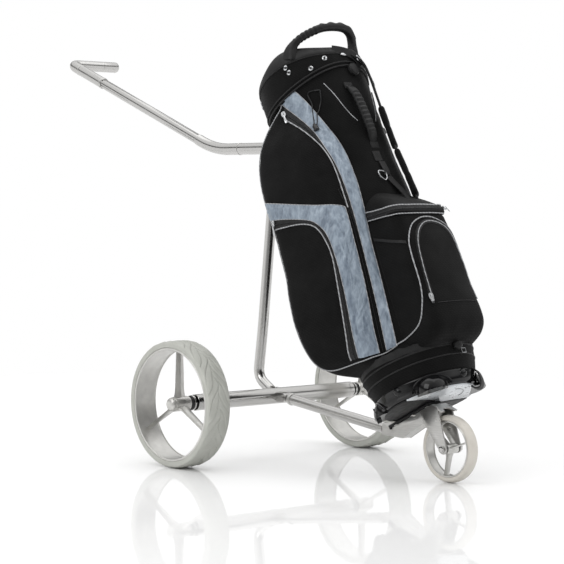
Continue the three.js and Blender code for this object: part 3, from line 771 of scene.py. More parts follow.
def make_handle():
    ring_x = -128
    lower = [Vector((19, 0, 733)), Vector((-60, 0, 733)), Vector((ring_x + 2.5, 0, 733))]
    piece = smooth(tube("handle_lower_bright", lower, 14, CART, sides=56), 50)
    give(piece, "handle", STEEL, "polished_steel", ["handle_lower_tube"])
    section = [(12, -2.3), (14.2, -2.3), (14.8, -1.6), (14.8, 1.6), (14.2, 2.3), (12, 2.3), (12, -2.3)]
    at = CART @ facing((ring_x, 0, 733), (1, 0, 0), (0, 0, 1))
    ring = smooth(turned("handle_ring_bead", section, at, 72), 30)
    give(ring, "handle", BRUSHED, "brushed_steel", ["handle_ring"])
    end = BEND + UPWARD * 66
    elbow = bends([(ring_x - 2.5, 0, 733), BEND, end], 52, 18)
    piece = smooth(tube("handle_elbow_bent", elbow, 14, CART, sides=56), 50)
    give(piece, "handle", STEEL, "polished_steel", ["handle_elbow"])
    top = CORNER - UPWARD * 150
    upper = [end + UPWARD * 0.4, end.lerp(top, 0.5), top]
    piece = smooth(tube("handle_upper_bright", upper, 12.5, CART, sides=56), 50)
    give(piece, "handle", STEEL, "polished_steel", ["handle_upper_tube"])
    lip = [(12, 0), (13.2, 0), (13.6, 0.5), (13.6, 2.6), (13.2, 3.1), (12, 3.1), (12, 0)]
    collar = smooth(turned("handle_elbow_lip", lip, CART @ facing(end, UPWARD, (0, 0, 1)), 72), 30)
    give(collar, "handle", BRUSHED, "brushed_steel")


def make_grip():
    sleeve = CORNER - UPWARD * 149.6
    bar_end = CORNER + Vector((0, 96, 0))
    line = bends([sleeve, CORNER, bar_end], 20, 16)
    piece = smooth(tube("grip_corner_bent", line, 14, CART, sides=56), 50)
    give(piece, "grip", STEEL, "polished_steel", ["grip_corner_tube"])
    section = [(12, 0), (13.9, 0), (14.5, 0.6), (14.5, 7.4), (13.9, 8), (12, 8), (12, 0)]
    for name, along in (("low", 2), ("high", 104)):
        at = CART @ facing(sleeve + UPWARD * along, UPWARD, (0, 0, 1))
        band = smooth(turned(f"grip_band_{name}", section, at, 72), 30)
        give(band, "grip", BRUSHED, "brushed_steel")
    cap = [(0, 96.4), (13.4, 96.4), (14, 97.2), (14, 140), (13.4, 143.5), (11.8, 146), (9, 147.6), (0, 148)]
    at = CART @ Matrix.Translation((CORNER.x, 0, CORNER.z))
    end = smooth(turned("grip_end_cap", cap, at, 72), 30)
    give(end, "grip", STEEL, "polished_steel", ["grip_end_sleeve"])


# ------------------------------------------------------------------ wheels


def turned_strip(name, ring_at, turns, across, matrix):
    """A closed tyre or rim from ring_at(angle, share), which returns a (radius, height) pair."""

    def place(s, t):
        angle = 2 * math.pi * s
        radius, height = ring_at(angle, t)
        return Vector((radius * math.cos(angle), height, radius * math.sin(angle)))

    piece = grid_piece(name, turns, across, place, round_trip=True)
    edit(piece, outwards)
    return placed(piece, matrix)


def on_outline(outline, share):
    """A point part of the way along a line of (radius, height) points."""
    at = share * (len(outline) - 1)
    i = min(int(at), len(outline) - 2)
    (a, b), (c, d) = outline[i], outline[i + 1]
    return a + (c - a) * (at - i), b + (d - b) * (at - i)


def even_outline(points, steps, count):
    line = smooth_line([(x, y, 0) for x, y in points], steps, closed=True)
    line.append(line[0])
    return [(point.x, point.y) for point in evenly(line, count + 1)]


FEATHERS = 26
TREAD_HALF = 31.5


def feather_depth(angle, height):
    """How far the tread is let in: leaf-shaped facets that meet on a wavy spine."""
    spine = 3.5 * math.sin(angle * FEATHERS / 2)
    away = (height - spine) / TREAD_HALF
    turn = angle * FEATHERS / (2 * math.pi) + abs(away) * 1.75
    turn += 0.5 if away > 0 else 0.0
    facet = turn % 1.0
    groove = math.exp(-((min(facet, 1 - facet) / 0.07) ** 2))
    ridge = math.exp(-((abs(height - spine) / 1.3) ** 2))
    fade = ease((1 - abs(height) / TREAD_HALF) / 0.12)
    return fade * (1.5 * facet + 1.5 * groove + 1.1 * ridge)


def rear_tyre(name, body, matrix, cad):
    section = [(129.4, -29.5), (134, -31), (139, -31.3), (142, -30), (144, -27), (145, -20), (145.3, -7),
               (145.3, 7), (145, 20), (144, 27), (142, 30), (139, 31.3), (134, 31), (129.4, 29.5),
               (129.4, 10), (129.4, -10)]
    outline = even_outline(section, 6, 84)

    def ring_at(angle, share):
        radius, height = on_outline(outline, share)
        if radius > 142.6:
            radius -= feather_depth(angle, height)
        return radius, height

    piece = smooth(turned_strip(name, ring_at, 620, 84, matrix), 50)
    return give(piece, body, GREY_RUBBER, "grey_tyre", [cad])


def rim_profile(inner, outer, half, flange):
    """A thin barrel with a rolled lip at each edge."""
    side = [(outer, 0), (outer, half - 3), (outer + 0.2, half - 0.6), (outer - 0.6, half)]
    side += [(inner - flange, half), (inner - flange - 0.5, half - 0.7), (inner - flange, half - 2.2)]
    side += [(inner, half - 3.6), (inner, 0)]
    back = [(radius, -height) for radius, height in reversed(side[:-1])]
    return [*side, *back]


# Half of a blade's section, as shares of its half width and half thickness; the rest is this turned over.
BLADE_TOP = [(-1, 0), (-0.93, 0.2), (-0.5, 0.62), (-0.06, 1), (0.06, 1), (0.5, 0.62), (0.93, 0.2)]
BLADE = [*BLADE_TOP, *[(-y, -z) for y, z in BLADE_TOP]]


def blade_spoke(name, root, tip, start, reach, thick, matrix, turn):
    """A blade with a ridge down its middle, from the hub out to the barrel, which swells at both ends."""
    rings, steps = [], 12
    for i in range(steps + 1):
        t = i / steps
        foot, head = 1 - ease(t / 0.14), ease((t - 0.9) / 0.1)
        half = root + (tip - root) * t + 2.6 * foot + 2.2 * head
        depth = thick * (1 - 0.25 * t) / 2 + 2.2 * foot + 1.6 * head
        rings.append([Vector((depth * z, half * y, start + (reach - start) * t)) for y, z in BLADE])
    swing = Matrix.Rotation(turn, 4, "Y")
    return lofted(name, rings, matrix @ swing)


def three_spokes(name, matrix, start_turn=0.0, **blade):
    turns = [2 * math.pi * i / 3 + start_turn for i in range(3)]
    return [smooth(blade_spoke(f"{name}_spoke_{i}", matrix=matrix, turn=turn, **blade), 32)
            for i, turn in enumerate(turns)]


def rear_rim(name, body, at):
    barrel = smooth(turned(name + "_rim_barrel", rim_profile(126.6, 129, 30, 1.4), at, 160), 28)
    hub = [(6.6, -23.8), (15.5, -23.8), (16.6, -23), (17, -21), (17, -10), (16.6, -9.4), (17, -8.8),
           (17, 16), (16.2, 19), (15.4, 20), (13, 20), (13, -18), (6.6, -18), (6.6, -23.8)]
    core = smooth(turned(name + "_hub", hub, at, 96), 28)
    spokes = three_spokes(name, at, root=14, tip=10, start=15.5, reach=127.2, thick=8)
    rim = join([barrel, core, *spokes], name + "_rim_three_spoke")
    give(rim, body, ALLOY, "wheel_alloy", [name + "_rim"])
    dome = [(0, 22.6), (11, 22.6), (11, 20.2), (15.2, 20.2), (15.5, 21), (15.3, 23.5), (14.4, 26),
            (12.6, 28.3), (10, 30), (6.5, 30.9), (0, 31.2)]
    cap = smooth(turned(name + "_hub_dome", dome, at, 96), 30)
    give(cap, body, ALLOY, "wheel_alloy", [name + "_hub_cap"])


def release_collar(name, collar, at):
    """The knurled quick-release collar behind a rear wheel, with its bright band."""
    ridges = [(7, -39.3), (14, -39.3), (14.6, -38.6), (16, -36.4), (16, -29), (15, -27.6), (13, -24.8),
              (7, -24.8), (7, -39.3)]
    knob = smooth(turned(name + "_release_ring", ridges, at, 96), 30)
    knurls = [knob]
    ribs = 18
    for i in range(ribs):
        swing = at @ Matrix.Rotation(2 * math.pi * i / ribs, 4, "Y")
        knurls.append(smooth(block(f"{name}_knurl_{i}", (1.6, 7.4, 1.4), (15.9, -32.8, 0), swing, 0.3)))
    give(join(knurls, name + "_release_collar_knurled"), collar, NYLON, "black_plastic",
         [name + "_release_collar"])
    band = [(16.3, -38.2), (17.1, -37.8), (17.3, -34.4), (16.9, -33.6), (16.3, -33.6), (16.3, -38.2)]
    ring = smooth(turned(f"{name}_release_band", band, at, 96), 30)
    give(ring, collar, STEEL, "polished_steel")


def make_rear_wheel(side):
    name = "right" if side < 0 else "left"
    body = name + "_wheel"
    at = wheel_matrix(name + "_wheel_spin", side)
    rear_tyre(name + "_tyre_feathered", body, at, name + "_tyre")
    rear_rim(name, body, at)
    release_collar(name, name + "_release", at)


def make_front_wheel():
    at = wheel_matrix("front_wheel_spin")
    section = [(61.9, -11.6), (65, -13.4), (68.4, -13.2), (71, -11), (72.8, -7.4), (73.5, -3.4), (73.5, 3.4),
               (72.8, 7.4), (71, 11), (68.4, 13.2), (65, 13.4), (61.9, 11.6), (61.9, 4), (61.9, -4)]
    outline = even_outline(section, 6, 72)

    def ring_at(angle, share):
        radius, height = on_outline(outline, share)
        if abs(height) > 11.2 and radius > 63:
            height *= 1 - 0.03 * math.exp(-(((radius - 66.2) / 0.5) ** 2))
        return radius, height

    tyre = smooth(turned_strip("front_tyre_round", ring_at, 160, 72, at), 50)
    give(tyre, "front_wheel", CREAM_RUBBER, "pale_tyre", ["front_tyre"])
    barrel = smooth(turned("front_barrel", rim_profile(59.4, 61.5, 12.6, 0.8), at, 128), 28)
    hub = [(8.3, -16.8), (10.4, -16.8), (11, -16), (11, -4), (10.6, -3.5), (11, -3), (11, 16),
           (10.4, 16.8), (8.3, 16.8), (8.3, -16.8)]
    core = smooth(turned("front_hub", hub, at, 72), 28)
    spokes = three_spokes("front", at, math.radians(190), root=10.5, tip=8.5, start=10, reach=59.9, thick=5.4)
    give(join([barrel, core, *spokes], "front_rim_three_spoke"), "front_wheel", ALLOY, "wheel_alloy",
         ["front_rim"])



def finish_cad_nodes():
    """Each CAD node gets the finish that its slot names."""
    for node in frame["nodes"].values():
        slot = node.data.materials[0].name.split(".")[0]
        node.data.materials.clear()
        node.data.materials.append(CAD_FINISH[slot])


finish_cad_nodes()
make_axle()
make_post()
make_weld()
make_strut()
make_rest_bar()
make_fork()
make_handle()
make_grip()
for hand in (-1, 1):
    make_rear_wheel(hand)
make_front_wheel()

# ------------------------------------------------------------------ soft forms of the bag


def sag(piece, depth_mm, size_mm, seed=0):
    """Moves a soft skin's points in and out a little, in broad patches, as stuffed cloth does."""
    mesh = piece.data
    mesh.update()
    shift = Vector((seed * 3.7, seed * 1.3, seed * 2.1))
    normals = [vertex.normal.copy() for vertex in mesh.vertices]
    for vertex, normal in zip(mesh.vertices, normals):
        broad = noise.noise(vertex.co * cell(size_mm) + shift)
        fine = noise.noise(vertex.co * cell(size_mm / 2.6) - shift)
        vertex.co += normal * (broad + 0.35 * fine) * depth_mm * MM
    return piece


def tracks(rows, steps):
    """Rings of control points, smoothed from row to row; a row is (height, point, point, ...)."""
    lines = []
    for k in range(1, len(rows[0])):
        lines.append(smooth_line([(*row[k], row[0]) for row in rows], steps))
    return [list(ring) for ring in zip(*lines)]


def soft_rings(rows, reaches, corner_steps=6):
    """Closed outlines with rounded corners, seven for each row of the table."""
    rings = []
    for ring in tracks(rows, 7):
        outline = []
        count = len(ring)
        for i, corner in enumerate(ring):
            before, after = ring[i - 1], ring[(i + 1) % count]
            start = corner + (before - corner) * min(0.5, reaches[i] / max(1, (before - corner).length))
            end = corner + (after - corner) * min(0.5, reaches[i] / max(1, (after - corner).length))
            outline += bend(start, corner, end, corner_steps)
        rings.append(outline)
    return rings


# Height, then the side pockets' own corners as (across, outwards): behind at the body, rear corner,
# front fold of the outer face, foot of the gusset, and where it meets the body in front.
SIDE_ROWS = [
    (96, (-74, 60), (-76, 98), (-10, 106), (20, 106), (50, 92)),
    (104, (-92, 50), (-88, 128), (-4, 138), (18, 112), (51, 97)),
    (118, (-88, 60), (-104, 156), (0, 163), (19, 117), (52, 97)),
    (140, (-90, 60), (-120, 179), (6, 172), (21, 120), (53, 97)),
    (170, (-90, 60), (-131, 193), (13, 174), (24, 120), (55, 96)),
    (210, (-90, 60), (-135, 202), (19, 175), (29, 120), (58, 94)),
    (258, (-90, 60), (-135, 205), (27, 175), (37, 120), (62, 91)),
    (313, (-90, 60), (-130, 202), (37, 174), (48, 119), (66, 88)),
    (360, (-90, 60), (-122, 197), (45, 171), (57, 117), (70, 85)),
    (420, (-90, 60), (-119, 194), (48, 168), (66, 116), (74, 82)),
    (500, (-90, 60), (-122, 188), (42, 166), (72, 114), (79, 78)),
    (556, (-90, 60), (-122, 185), (31, 164), (69, 115), (78, 80)),
    (605, (-90, 60), (-118, 180), (18, 160), (57, 118), (73, 84)),
    (655, (-86, 62), (-99, 172), (-4, 154), (36, 119), (61, 92)),
    (693, (-85, 68), (-72, 156), (-24, 142), (12, 119), (49, 99)),
    (719, (-66, 86), (-48, 139), (-28, 131), (-8, 119), (39, 104)),
    (744, (-45, 97), (-28, 119), (-22, 118), (-14, 116), (26, 107)),
    (760, (-40, 92), (-24, 102), (-18, 103), (-10, 104), (20, 103)),
]


def side_form(name, side):
    """One side's two pockets as one stuffed shell against the body."""
    rows = []
    for height, behind, rear, fold, foot, front in SIDE_ROWS:
        if side > 0:
            # The left side's upper pocket is shallower towards the front, behind the shoulder strap.
            slim = ease((height - 365) / 55) * ease((690 - height) / 60)
            fold = (fold[0] - 34 * slim, fold[1] - 22 * slim)
            foot = (foot[0] - 24 * slim, foot[1] - 15 * slim)
            front = (front[0] - 7 * slim, front[1] - 6 * slim)
        crown = 5 * ease((height - 100) / 60) * ease((760 - height) / 120)
        middle = []
        for share in (0.33, 0.67):
            across = rear[0] + (fold[0] - rear[0]) * share
            out = rear[1] + (fold[1] - rear[1]) * share + crown
            middle.append((across, out))
        corners = [behind, rear, *middle, fold, foot, front, (34, 40), (-40, 40)]
        rows.append((height, *((across, side * out) for across, out in corners)))
    rings = soft_rings(rows, [16, 36, 30, 30, 24, 12, 10, 4, 4])
    piece = lofted(name, rings, BAG)
    return sag(piece, 2.2, 95, seed=1)


# Height, then a front pocket's foot on the body, its side corner and its middle, as (across, left).
FRONT_ROWS = [
    (86, (70, 70), (102, 62), (104, 0)),
    (94, (66, 88), (130, 72), (134, 0)),
    (106, (62, 90), (152, 78), (158, 0)),
    (126, (62, 89), (164, 82), (174, 0)),
    (160, (62, 89), (166, 82), (179, 0)),
    (210, (63, 88), (163, 80), (177, 0)),
    (264, (65, 86), (164, 81), (174, 0)),
    (330, (68, 84), (163, 80), (171, 0)),
    (385, (70, 82), (160, 79), (166, 0)),
    (404, (71, 80), (156, 78), (162, 0)),
    (412, (60, 70), (140, 66), (146, 0)),
]
FLAP_ROWS = [
    (406, (64, 74), (148, 70), (154, 0)),
    (409, (72, 82), (161, 81), (168, 0)),
    (414, (73, 83), (163, 82), (170, 0)),
    (426, (74, 82), (160, 80), (167, 0)),
    (431, (74, 81), (154, 76), (160, 0)),
    (446, (76, 76), (134, 69), (139, 0)),
    (462, (78, 66), (112, 58), (116, 0)),
    (480, (70, 50), (94, 44), (98, 0)),
]


def front_form(name, table):
    """The front pocket or the lid above it as a stuffed shell, the same on both sides."""
    rows = []
    for height, foot, corner, middle in table:
        right = [(foot[0], -foot[1]), (corner[0], -corner[1])]
        left = [(corner[0], corner[1]), (foot[0], foot[1])]
        rows.append((height, (30, 0), *right, middle, *left))
    rings = soft_rings(rows, [6, 8, 26, 50, 26, 8], corner_steps=8)
    # The top slopes down towards the front, by this share of the reach beyond the body.
    slope, slope_from, body_front = 0.25, 320, 72
    for ring in rings:
        for point in ring:
            point.z -= slope * ease((point.z - slope_from) / 60) * (point.x - body_front)
    return sag(lofted(name, rings, BAG), 1.6, 80, seed=2)


BODY_RADIUS = 109
UPPER_BODY = 470
# The body's outside from the foot up, as (radius, height).
SHELL = [
    (111.5, 35), (114.5, 36), (116.6, 39), (118.6, 46), (121.5, 56), (124, 68), (126, 80),
    (127.4, 90), (125.5, 98), (119, 106), (114, 116), (111.4, 132), (110, 160), (109, 220), (109, 400),
    (109, 480), (109, 560), (109, 640), (109, 740), (109, 822),
]


def body_oval(height):
    """Centre and radius of the body's outline, which leans back and grows wide towards the cuff."""
    slim = ease((height - UPPER_BODY) / 110)
    wide = ease((height - 708) / 55)
    return -6 * slim * (1 - wide) - 22 * wide, (BODY_RADIUS - 2.5 * slim) * (1 - wide) + 119 * wide


def reach_of(centre, radius, angle):
    """How far a circle set back along the first axis reaches from the bag's axis at an angle."""
    return centre * math.cos(angle) + math.sqrt(radius**2 - (centre * math.sin(angle)) ** 2)


def to_oval(piece):
    """Shifts the round tube's upper wall to the body's set-back outline, but not its inside."""
    for vertex in piece.data.vertices:
        spot = BAG_BACK @ vertex.co
        flat = math.hypot(spot.x, spot.y)
        if spot.z > UPPER_BODY and flat > 100:
            grown = reach_of(*body_oval(spot.z), math.atan2(spot.y, spot.x)) / BODY_RADIUS
            vertex.co = BAG @ Vector((spot.x * grown, spot.y * grown, spot.z))
    return piece


def make_shell():
    """The bag's body: a stiffened cloth tube that flares into a skirt over the base."""
    outer = [(point.x, point.y) for point in smooth_line([(r, w, 0) for r, w in SHELL], 6)]
    inner = [(96, 822), (96, 600), (96, 480), (103, 380), (104, 220), (105, 130), (107, 92), (107, 42)]
    inner.append((0, 42))
    profile = [(0, 35), *outer, *inner, (0, 35)]
    piece = to_oval(turned("bag_shell_sewn", profile, BAG, 160, axis="Z"))
    sag(piece, 1.3, 110, seed=3)
    smooth(piece, 50)
    return give(piece, "bag", CLOTH, "black_cloth", ["bag_body"])


# ------------------------------------------------------------------ trim laid on the soft forms


def form_tree(forms):
    """All soft forms as one surface to lay trim on."""
    points, faces = [], []
    for form in forms:
        start = len(points)
        points += [vertex.co.copy() for vertex in form.data.vertices]
        faces += [[start + i for i in polygon.vertices] for polygon in form.data.polygons]
    return BVHTree.FromPolygons(points, faces)


def on_skin(spot, lift):
    """The nearest point of the soft forms to a bag point, lifted off them, in bag millimetres."""
    found, normal, _, _ = SKIN.find_nearest(BAG @ Vector(spot))
    # Where two forms overlap, the outer one of them counts if it is within this many millimetres.
    above = 12
    over, over_normal, _, _ = SKIN.ray_cast(found + normal * above * MM, -normal, (above - 0.2) * MM)
    if over is not None and over_normal.dot(normal) > 0.2:
        found, normal = over, over_normal
    return BAG_BACK @ (found + normal * lift * MM)


def swap(points, side):
    """Points given for the bag's right side (negative second value), turned to the wanted side."""
    return [Vector((u, -v, w)) if side > 0 else Vector((u, v, w)) for u, v, w in points]


def laid_cord(name, points, radius, material, slot, side=-1, lift=0.6, count=120, sides=10):
    """A cord sewn along a line of bag points, its kinks smoothed out."""
    line = evenly(smooth_line(swap(points, side)), count)
    line = [on_skin(spot, lift) for spot in line]
    for _ in range(3):
        inside = [(a + b * 2 + c) / 4 for a, b, c in zip(line, line[1:], line[2:])]
        line = [line[0], *inside, line[-1]]
    piece = smooth(tube(name, line, radius, BAG, sides=sides), 60)
    return give(piece, "bag", material, slot)


def out_of_skin(spot):
    """The direction straight out of the soft forms near a bag point."""
    return (on_skin(spot, 20) - on_skin(spot, 0)).normalized()


def laid_band(name, first, second, material, slot, side=-1, lift=1.0, crown=0.0, rows=90, columns=10,
              thick=1.4):
    """A strip of cloth sewn between two lines of bag points; "crown" stuffs and puckers its middle."""
    a = evenly(smooth_line(swap(first, side)), rows + 1)
    b = evenly(smooth_line(swap(second, side)), rows + 1)

    def place(s, t):
        i = round(t * rows)
        spot = a[i].lerp(b[i], s)
        bowed = math.sin(math.pi * s) ** 0.6
        fold = abs(noise.noise(Vector((s * 1.6 + t * 3, t * 30 - s * 2.4, side))))
        crease = abs(noise.noise(Vector((s * 4 - t * 9, t * 75 + s * 3, 5 + side))))
        rise = lift + crown * bowed * (1.25 - 1.3 * fold - 0.7 * crease)
        return on_skin(spot, rise)

    piece = grid_piece(name, columns, rows, place)
    middle_face = piece.data.polygons[(columns // 2) + columns * (rows // 2)]
    if middle_face.normal.dot(out_of_skin(a[rows // 2].lerp(b[rows // 2], 0.5))) < 0:
        piece.data.flip_normals()
    modifier(piece, "SOLIDIFY", thickness=thick, offset=-0.4)
    placed(piece, BAG)
    return give(smooth(piece, 45), "bag", material, slot)


def coil(name, points, side=-1):
    """A zip's coil: a fine cord that weaves from side to side along the tape."""
    lift, pitch, width = 2.0, 3.4, 1.5
    rough = smooth_line(swap(points, side))
    length = sum((b - a).length for a, b in zip(rough, rough[1:]))
    count = int(length / pitch * 4)
    line = [on_skin(spot, lift) for spot in evenly(rough, count)]
    woven = []
    for i, spot in enumerate(line):
        ahead = line[min(i + 1, count - 1)] - line[max(i - 1, 0)]
        across = ahead.cross(on_skin(spot, 20) - spot).normalized()
        woven.append(spot + across * width * math.sin(i * math.pi / 2))
    piece = smooth(tube(name, woven, 0.8, BAG, sides=6), 70)
    return give(piece, "bag", NYLON, "black_plastic")


def zip_pull(name, spot, along, length, side=-1):
    """A slider with its bail and a waisted pull that lies on the cloth."""
    spot, along = swap([spot], side)[0], swap([along], side)[0].normalized()
    at = BAG @ facing(on_skin(spot, 3.2), out_of_skin(spot), along)
    half = [(0, -6.5), (3.6, -5.5), (4.6, 0), (3.8, 5.5), (1.8, 7)]
    shape = [*half, *[(-x, z) for x, z in reversed(half[1:])]]
    slider = plate(name + "_slider", shape, -1.6, 1.6, at, bevel=0.7)
    bail = [(0, 1.2, 4.5), (0, 4.4, 2), (0, 4.6, -3), (0, 1.4, -5.5)]
    loop = tube(name + "_bail", smooth_line(bail, 6), 0.8, at, sides=8)
    half = [(1.4, -4), (2.4, -8), (2.1, -14), (3.2, -length + 5), (3.4, -length + 1), (1.8, -length)]
    shape = [*half, *[(-x, z) for x, z in reversed(half)]]
    tag = plate(name + "_tag", shape, 2.4, 4.2, at, bevel=0.6)
    piece = smooth(join([slider, loop, tag], name), 35)
    return give(piece, "bag", ZINC, "bright_zinc")


# Lines on the bag's right side as (across, left, along); the left side is their mirror image.
BAND_FRONT = [(2, -116, 784), (24, -106, 753), (51, -96, 685), (63, -88, 641), (73, -80, 593),
              (77, -76, 546), (78, -76, 496), (74, -79, 431), (68, -84, 366), (64, -87, 295),
              (57, -93, 190), (52, -98, 119)]
BAND_BACK = [(-40, -119, 772), (-19, -120, 744), (14, -117, 694), (40, -117, 650), (59, -118, 599),
             (69, -115, 554), (71, -111, 501), (69, -110, 450), (61, -108, 374), (53, -108, 300),
             (42, -108, 210), (30, -110, 119)]
LOW_BAND_OUTER = [(-109, -183, 543), (-64, -184, 519), (-12, -178, 491), (34, -167, 467), (62, -128, 451),
                  (64, -125, 440), (58, -124, 386), (48, -122, 315), (35, -120, 237), (24, -122, 170),
                  (18, -122, 119)]
LOW_BAND_INNER = [(-109, -184, 499), (-64, -186, 481), (-24, -181, 461), (5, -177, 443), (21, -174, 423),
                  (30, -172, 402), (33, -171, 376), (33, -171, 347), (30, -171, 305), (23, -171, 256),
                  (12, -170, 202), (4, -170, 158), (-5, -165, 119)]
LOW_PIPING = [(-108, -186, 474), (-70, -187, 464), (-28, -182, 451), (2, -178, 434), (17, -175, 412),
              (25, -174, 381), (27, -174, 345), (20, -177, 293), (9, -178, 239), (-5, -179, 174),
              (-25, -168, 122)]
UP_PIPING = [(-24, -123, 716), (-15, -129, 704), (16, -129, 667), (41, -126, 629), (58, -122, 592),
             (66, -120, 558), (68, -119, 518), (67, -119, 483), (65, -119, 446)]
EDGE_PIPING = [(-22, -112, 751), (-30, -123, 738), (-50, -141, 716), (-76, -160, 690), (-100, -173, 656),
               (-116, -179, 610), (-119, -184, 556), (-119, -187, 500), (-116, -193, 420), (-119, -196, 360),
               (-127, -200, 313), (-131, -203, 258), (-131, -200, 210), (-126, -190, 170), (-108, -176, 140),
               (-84, -168, 124), (-45, -163, 116), (-11, -158, 112), (10, -140, 113), (22, -118, 114),
               (36, -107, 115), (54, -98, 119)]
FRONT_OUTER = [(52, -99, 121), (66, -92, 124), (94, -87, 129), (120, -85, 138), (137, -84, 155),
               (150, -81, 184), (156, -78, 217), (158, -77, 251), (158, -75, 286), (159, -72, 314),
               (163, -64, 338), (166, -48, 358), (166, -22, 371), (166, 4, 375), (166, 30, 371),
               (164, 56, 356), (159, 73, 330), (158, 76, 286), (158, 77, 251), (150, 81, 184),
               (137, 84, 155), (120, 85, 138), (94, 87, 129), (52, 99, 121)]
FRONT_INNER = [(166, -68, 176), (167, -65, 212), (167, -63, 251), (167, -57, 294), (167, -49, 322),
               (167, -34, 345), (167, -10, 361), (167, 16, 364), (166, 42, 357), (163, 60, 340),
               (162, 68, 310), (162, 71, 270), (162, 72, 220), (163, 73, 176)]
LID_TOP = [(78, -83, 427), (100, -83, 420), (130, -81, 412), (152, -72, 405), (160, -50, 402),
           (163, 0, 402), (160, 50, 402), (152, 72, 405), (130, 81, 412), (100, 83, 420),
           (78, 83, 427)]
LID_FOOT = [(76, -83, 406), (100, -83, 400), (130, -82, 393), (156, -74, 386), (164, -50, 383),
            (167, 0, 382), (164, 50, 383), (156, 74, 386), (130, 82, 393), (100, 83, 400),
            (76, 83, 406)]
GUSSET_HEM = [(74, -82, 363), (96, -82, 351), (117, -81, 339), (140, -80, 327), (157, -77, 318)]


def between_lines(first, second, count=24):
    """The line half way between two lines of points."""
    a = evenly(smooth_line(first), count)
    b = evenly(smooth_line(second), count)
    return [tuple(p.lerp(q, 0.5)) for p, q in zip(a, b)]


def silver_cord(name, points, radius, side=-1, lift=1.5, count=200):
    return laid_cord(name, points, radius, PIPING, "piping_cloth", side, lift, count)


def dark_band(name, first, second, side=-1, **settings):
    return laid_band(name, first, second, WEBBING, "webbing", side, **settings)


def make_satin(name, side):
    """The two blue-grey panels with their silver edges, and the piping of the side pockets."""
    for label, first, second, rows, columns in (("upper", BAND_BACK, BAND_FRONT, 260, 18),
                                                ("lower", LOW_BAND_OUTER, LOW_BAND_INNER, 300, 24)):
        laid_band(f"{name}_satin_{label}_band", first, second, SATIN, "satin_cloth", side, crown=2.2,
                  rows=rows, columns=columns)
    silver = (
        ("upper_band_front", BAND_FRONT, 0.9),
        ("upper_band_back", BAND_BACK, 0.9),
        ("lower_band_outer", LOW_BAND_OUTER, 1.0),
        ("lower_band_inner", LOW_BAND_INNER, 0.8),
        ("lower_pocket", LOW_PIPING, 1.5),
        ("upper_pocket", UP_PIPING, 1.5),
        ("rear_edge", EDGE_PIPING, 1.3),
    )
    for label, line, radius in silver:
        silver_cord(f"{name}_piping_{label}", line, radius, side, lift=1.6, count=160)


def make_side_zips(name, side):
    upper_edge = BAND_BACK[1:9]
    zips = (
        ("lower", LOW_PIPING, LOW_BAND_INNER, (-98, -190, 486), (0.15, 0, 1)),
        ("upper", UP_PIPING, upper_edge, (-22, -124, 722), (-0.1, 0, 1)),
    )
    for label, piping, edge, pull_spot, pull_along in zips:
        dark_band(f"{name}_{label}_zip_tape", piping, edge, side, lift=0.6, thick=1)
        coil(f"{name}_{label}_zip_coil", between_lines(piping, edge), side)
        zip_pull(f"{name}_{label}_zip_pull", pull_spot, pull_along, 28, side)


def make_side_seams(name, side):
    half_hem = 3.5
    hem = [(u, v, w + half_hem) for u, v, w in GUSSET_HEM]
    foot = [(u, v, w - half_hem) for u, v, w in GUSSET_HEM]
    dark_band(name + "_gusset_hem", hem, foot, side, lift=1.4, rows=40, columns=4)
    thin = [(80, -74, 754), (89, -63, 724), (95, -53, 693), (100, -43, 668), (104, -30, 648)]
    silver_cord(name + "_piping_shoulder", thin, 1.0, side, lift=0.8, count=120)
    seam = between_lines(BAND_BACK, LOW_BAND_OUTER[4:])[6:]
    laid_cord(name + "_strip_seam", seam, 0.7, WEBBING, "webbing", side, lift=0.9)


def make_drawcord(name, side):
    """A drawcord loop that hangs from a tab under the cuff, with its lock."""
    loop = [(70, -84, 740), (46, -100, 744), (46, -99, 716), (44, -104, 690), (44, -111, 662),
            (46, -114, 655), (50, -111, 660), (57, -101, 690), (68, -90, 716), (70, -84, 740)]
    laid_cord(name + "_drawcord", loop, 1.4, NYLON, "black_plastic", side, lift=2.2, count=90, sides=8)
    spot = swap([(47, -113, 654)], side)[0]
    at = BAG @ facing(on_skin(spot, 5), out_of_skin(spot), (-0.15, 0, 1))
    lock = [(0, -9), (4.8, -9), (6.4, -7.4), (6.4, 4), (5.4, 6), (3.4, 7), (3.4, 10), (0, 10.8)]
    piece = smooth(turned(name + "_drawcord_lock", lock, at, 32, axis="Z"), 35)
    give(piece, "bag", NYLON, "black_plastic")


def make_side_trim(side):
    name = "right" if side < 0 else "left"
    make_satin(name, side)
    make_side_zips(name, side)
    make_side_seams(name, side)
    make_drawcord(name, side)


def widened(points, share, rise, above=300):
    """A line of the front pocket pushed out from its middle, and up where it is above a height."""
    return [(u, v * share, w + rise if w > above else w) for u, v, w in points]


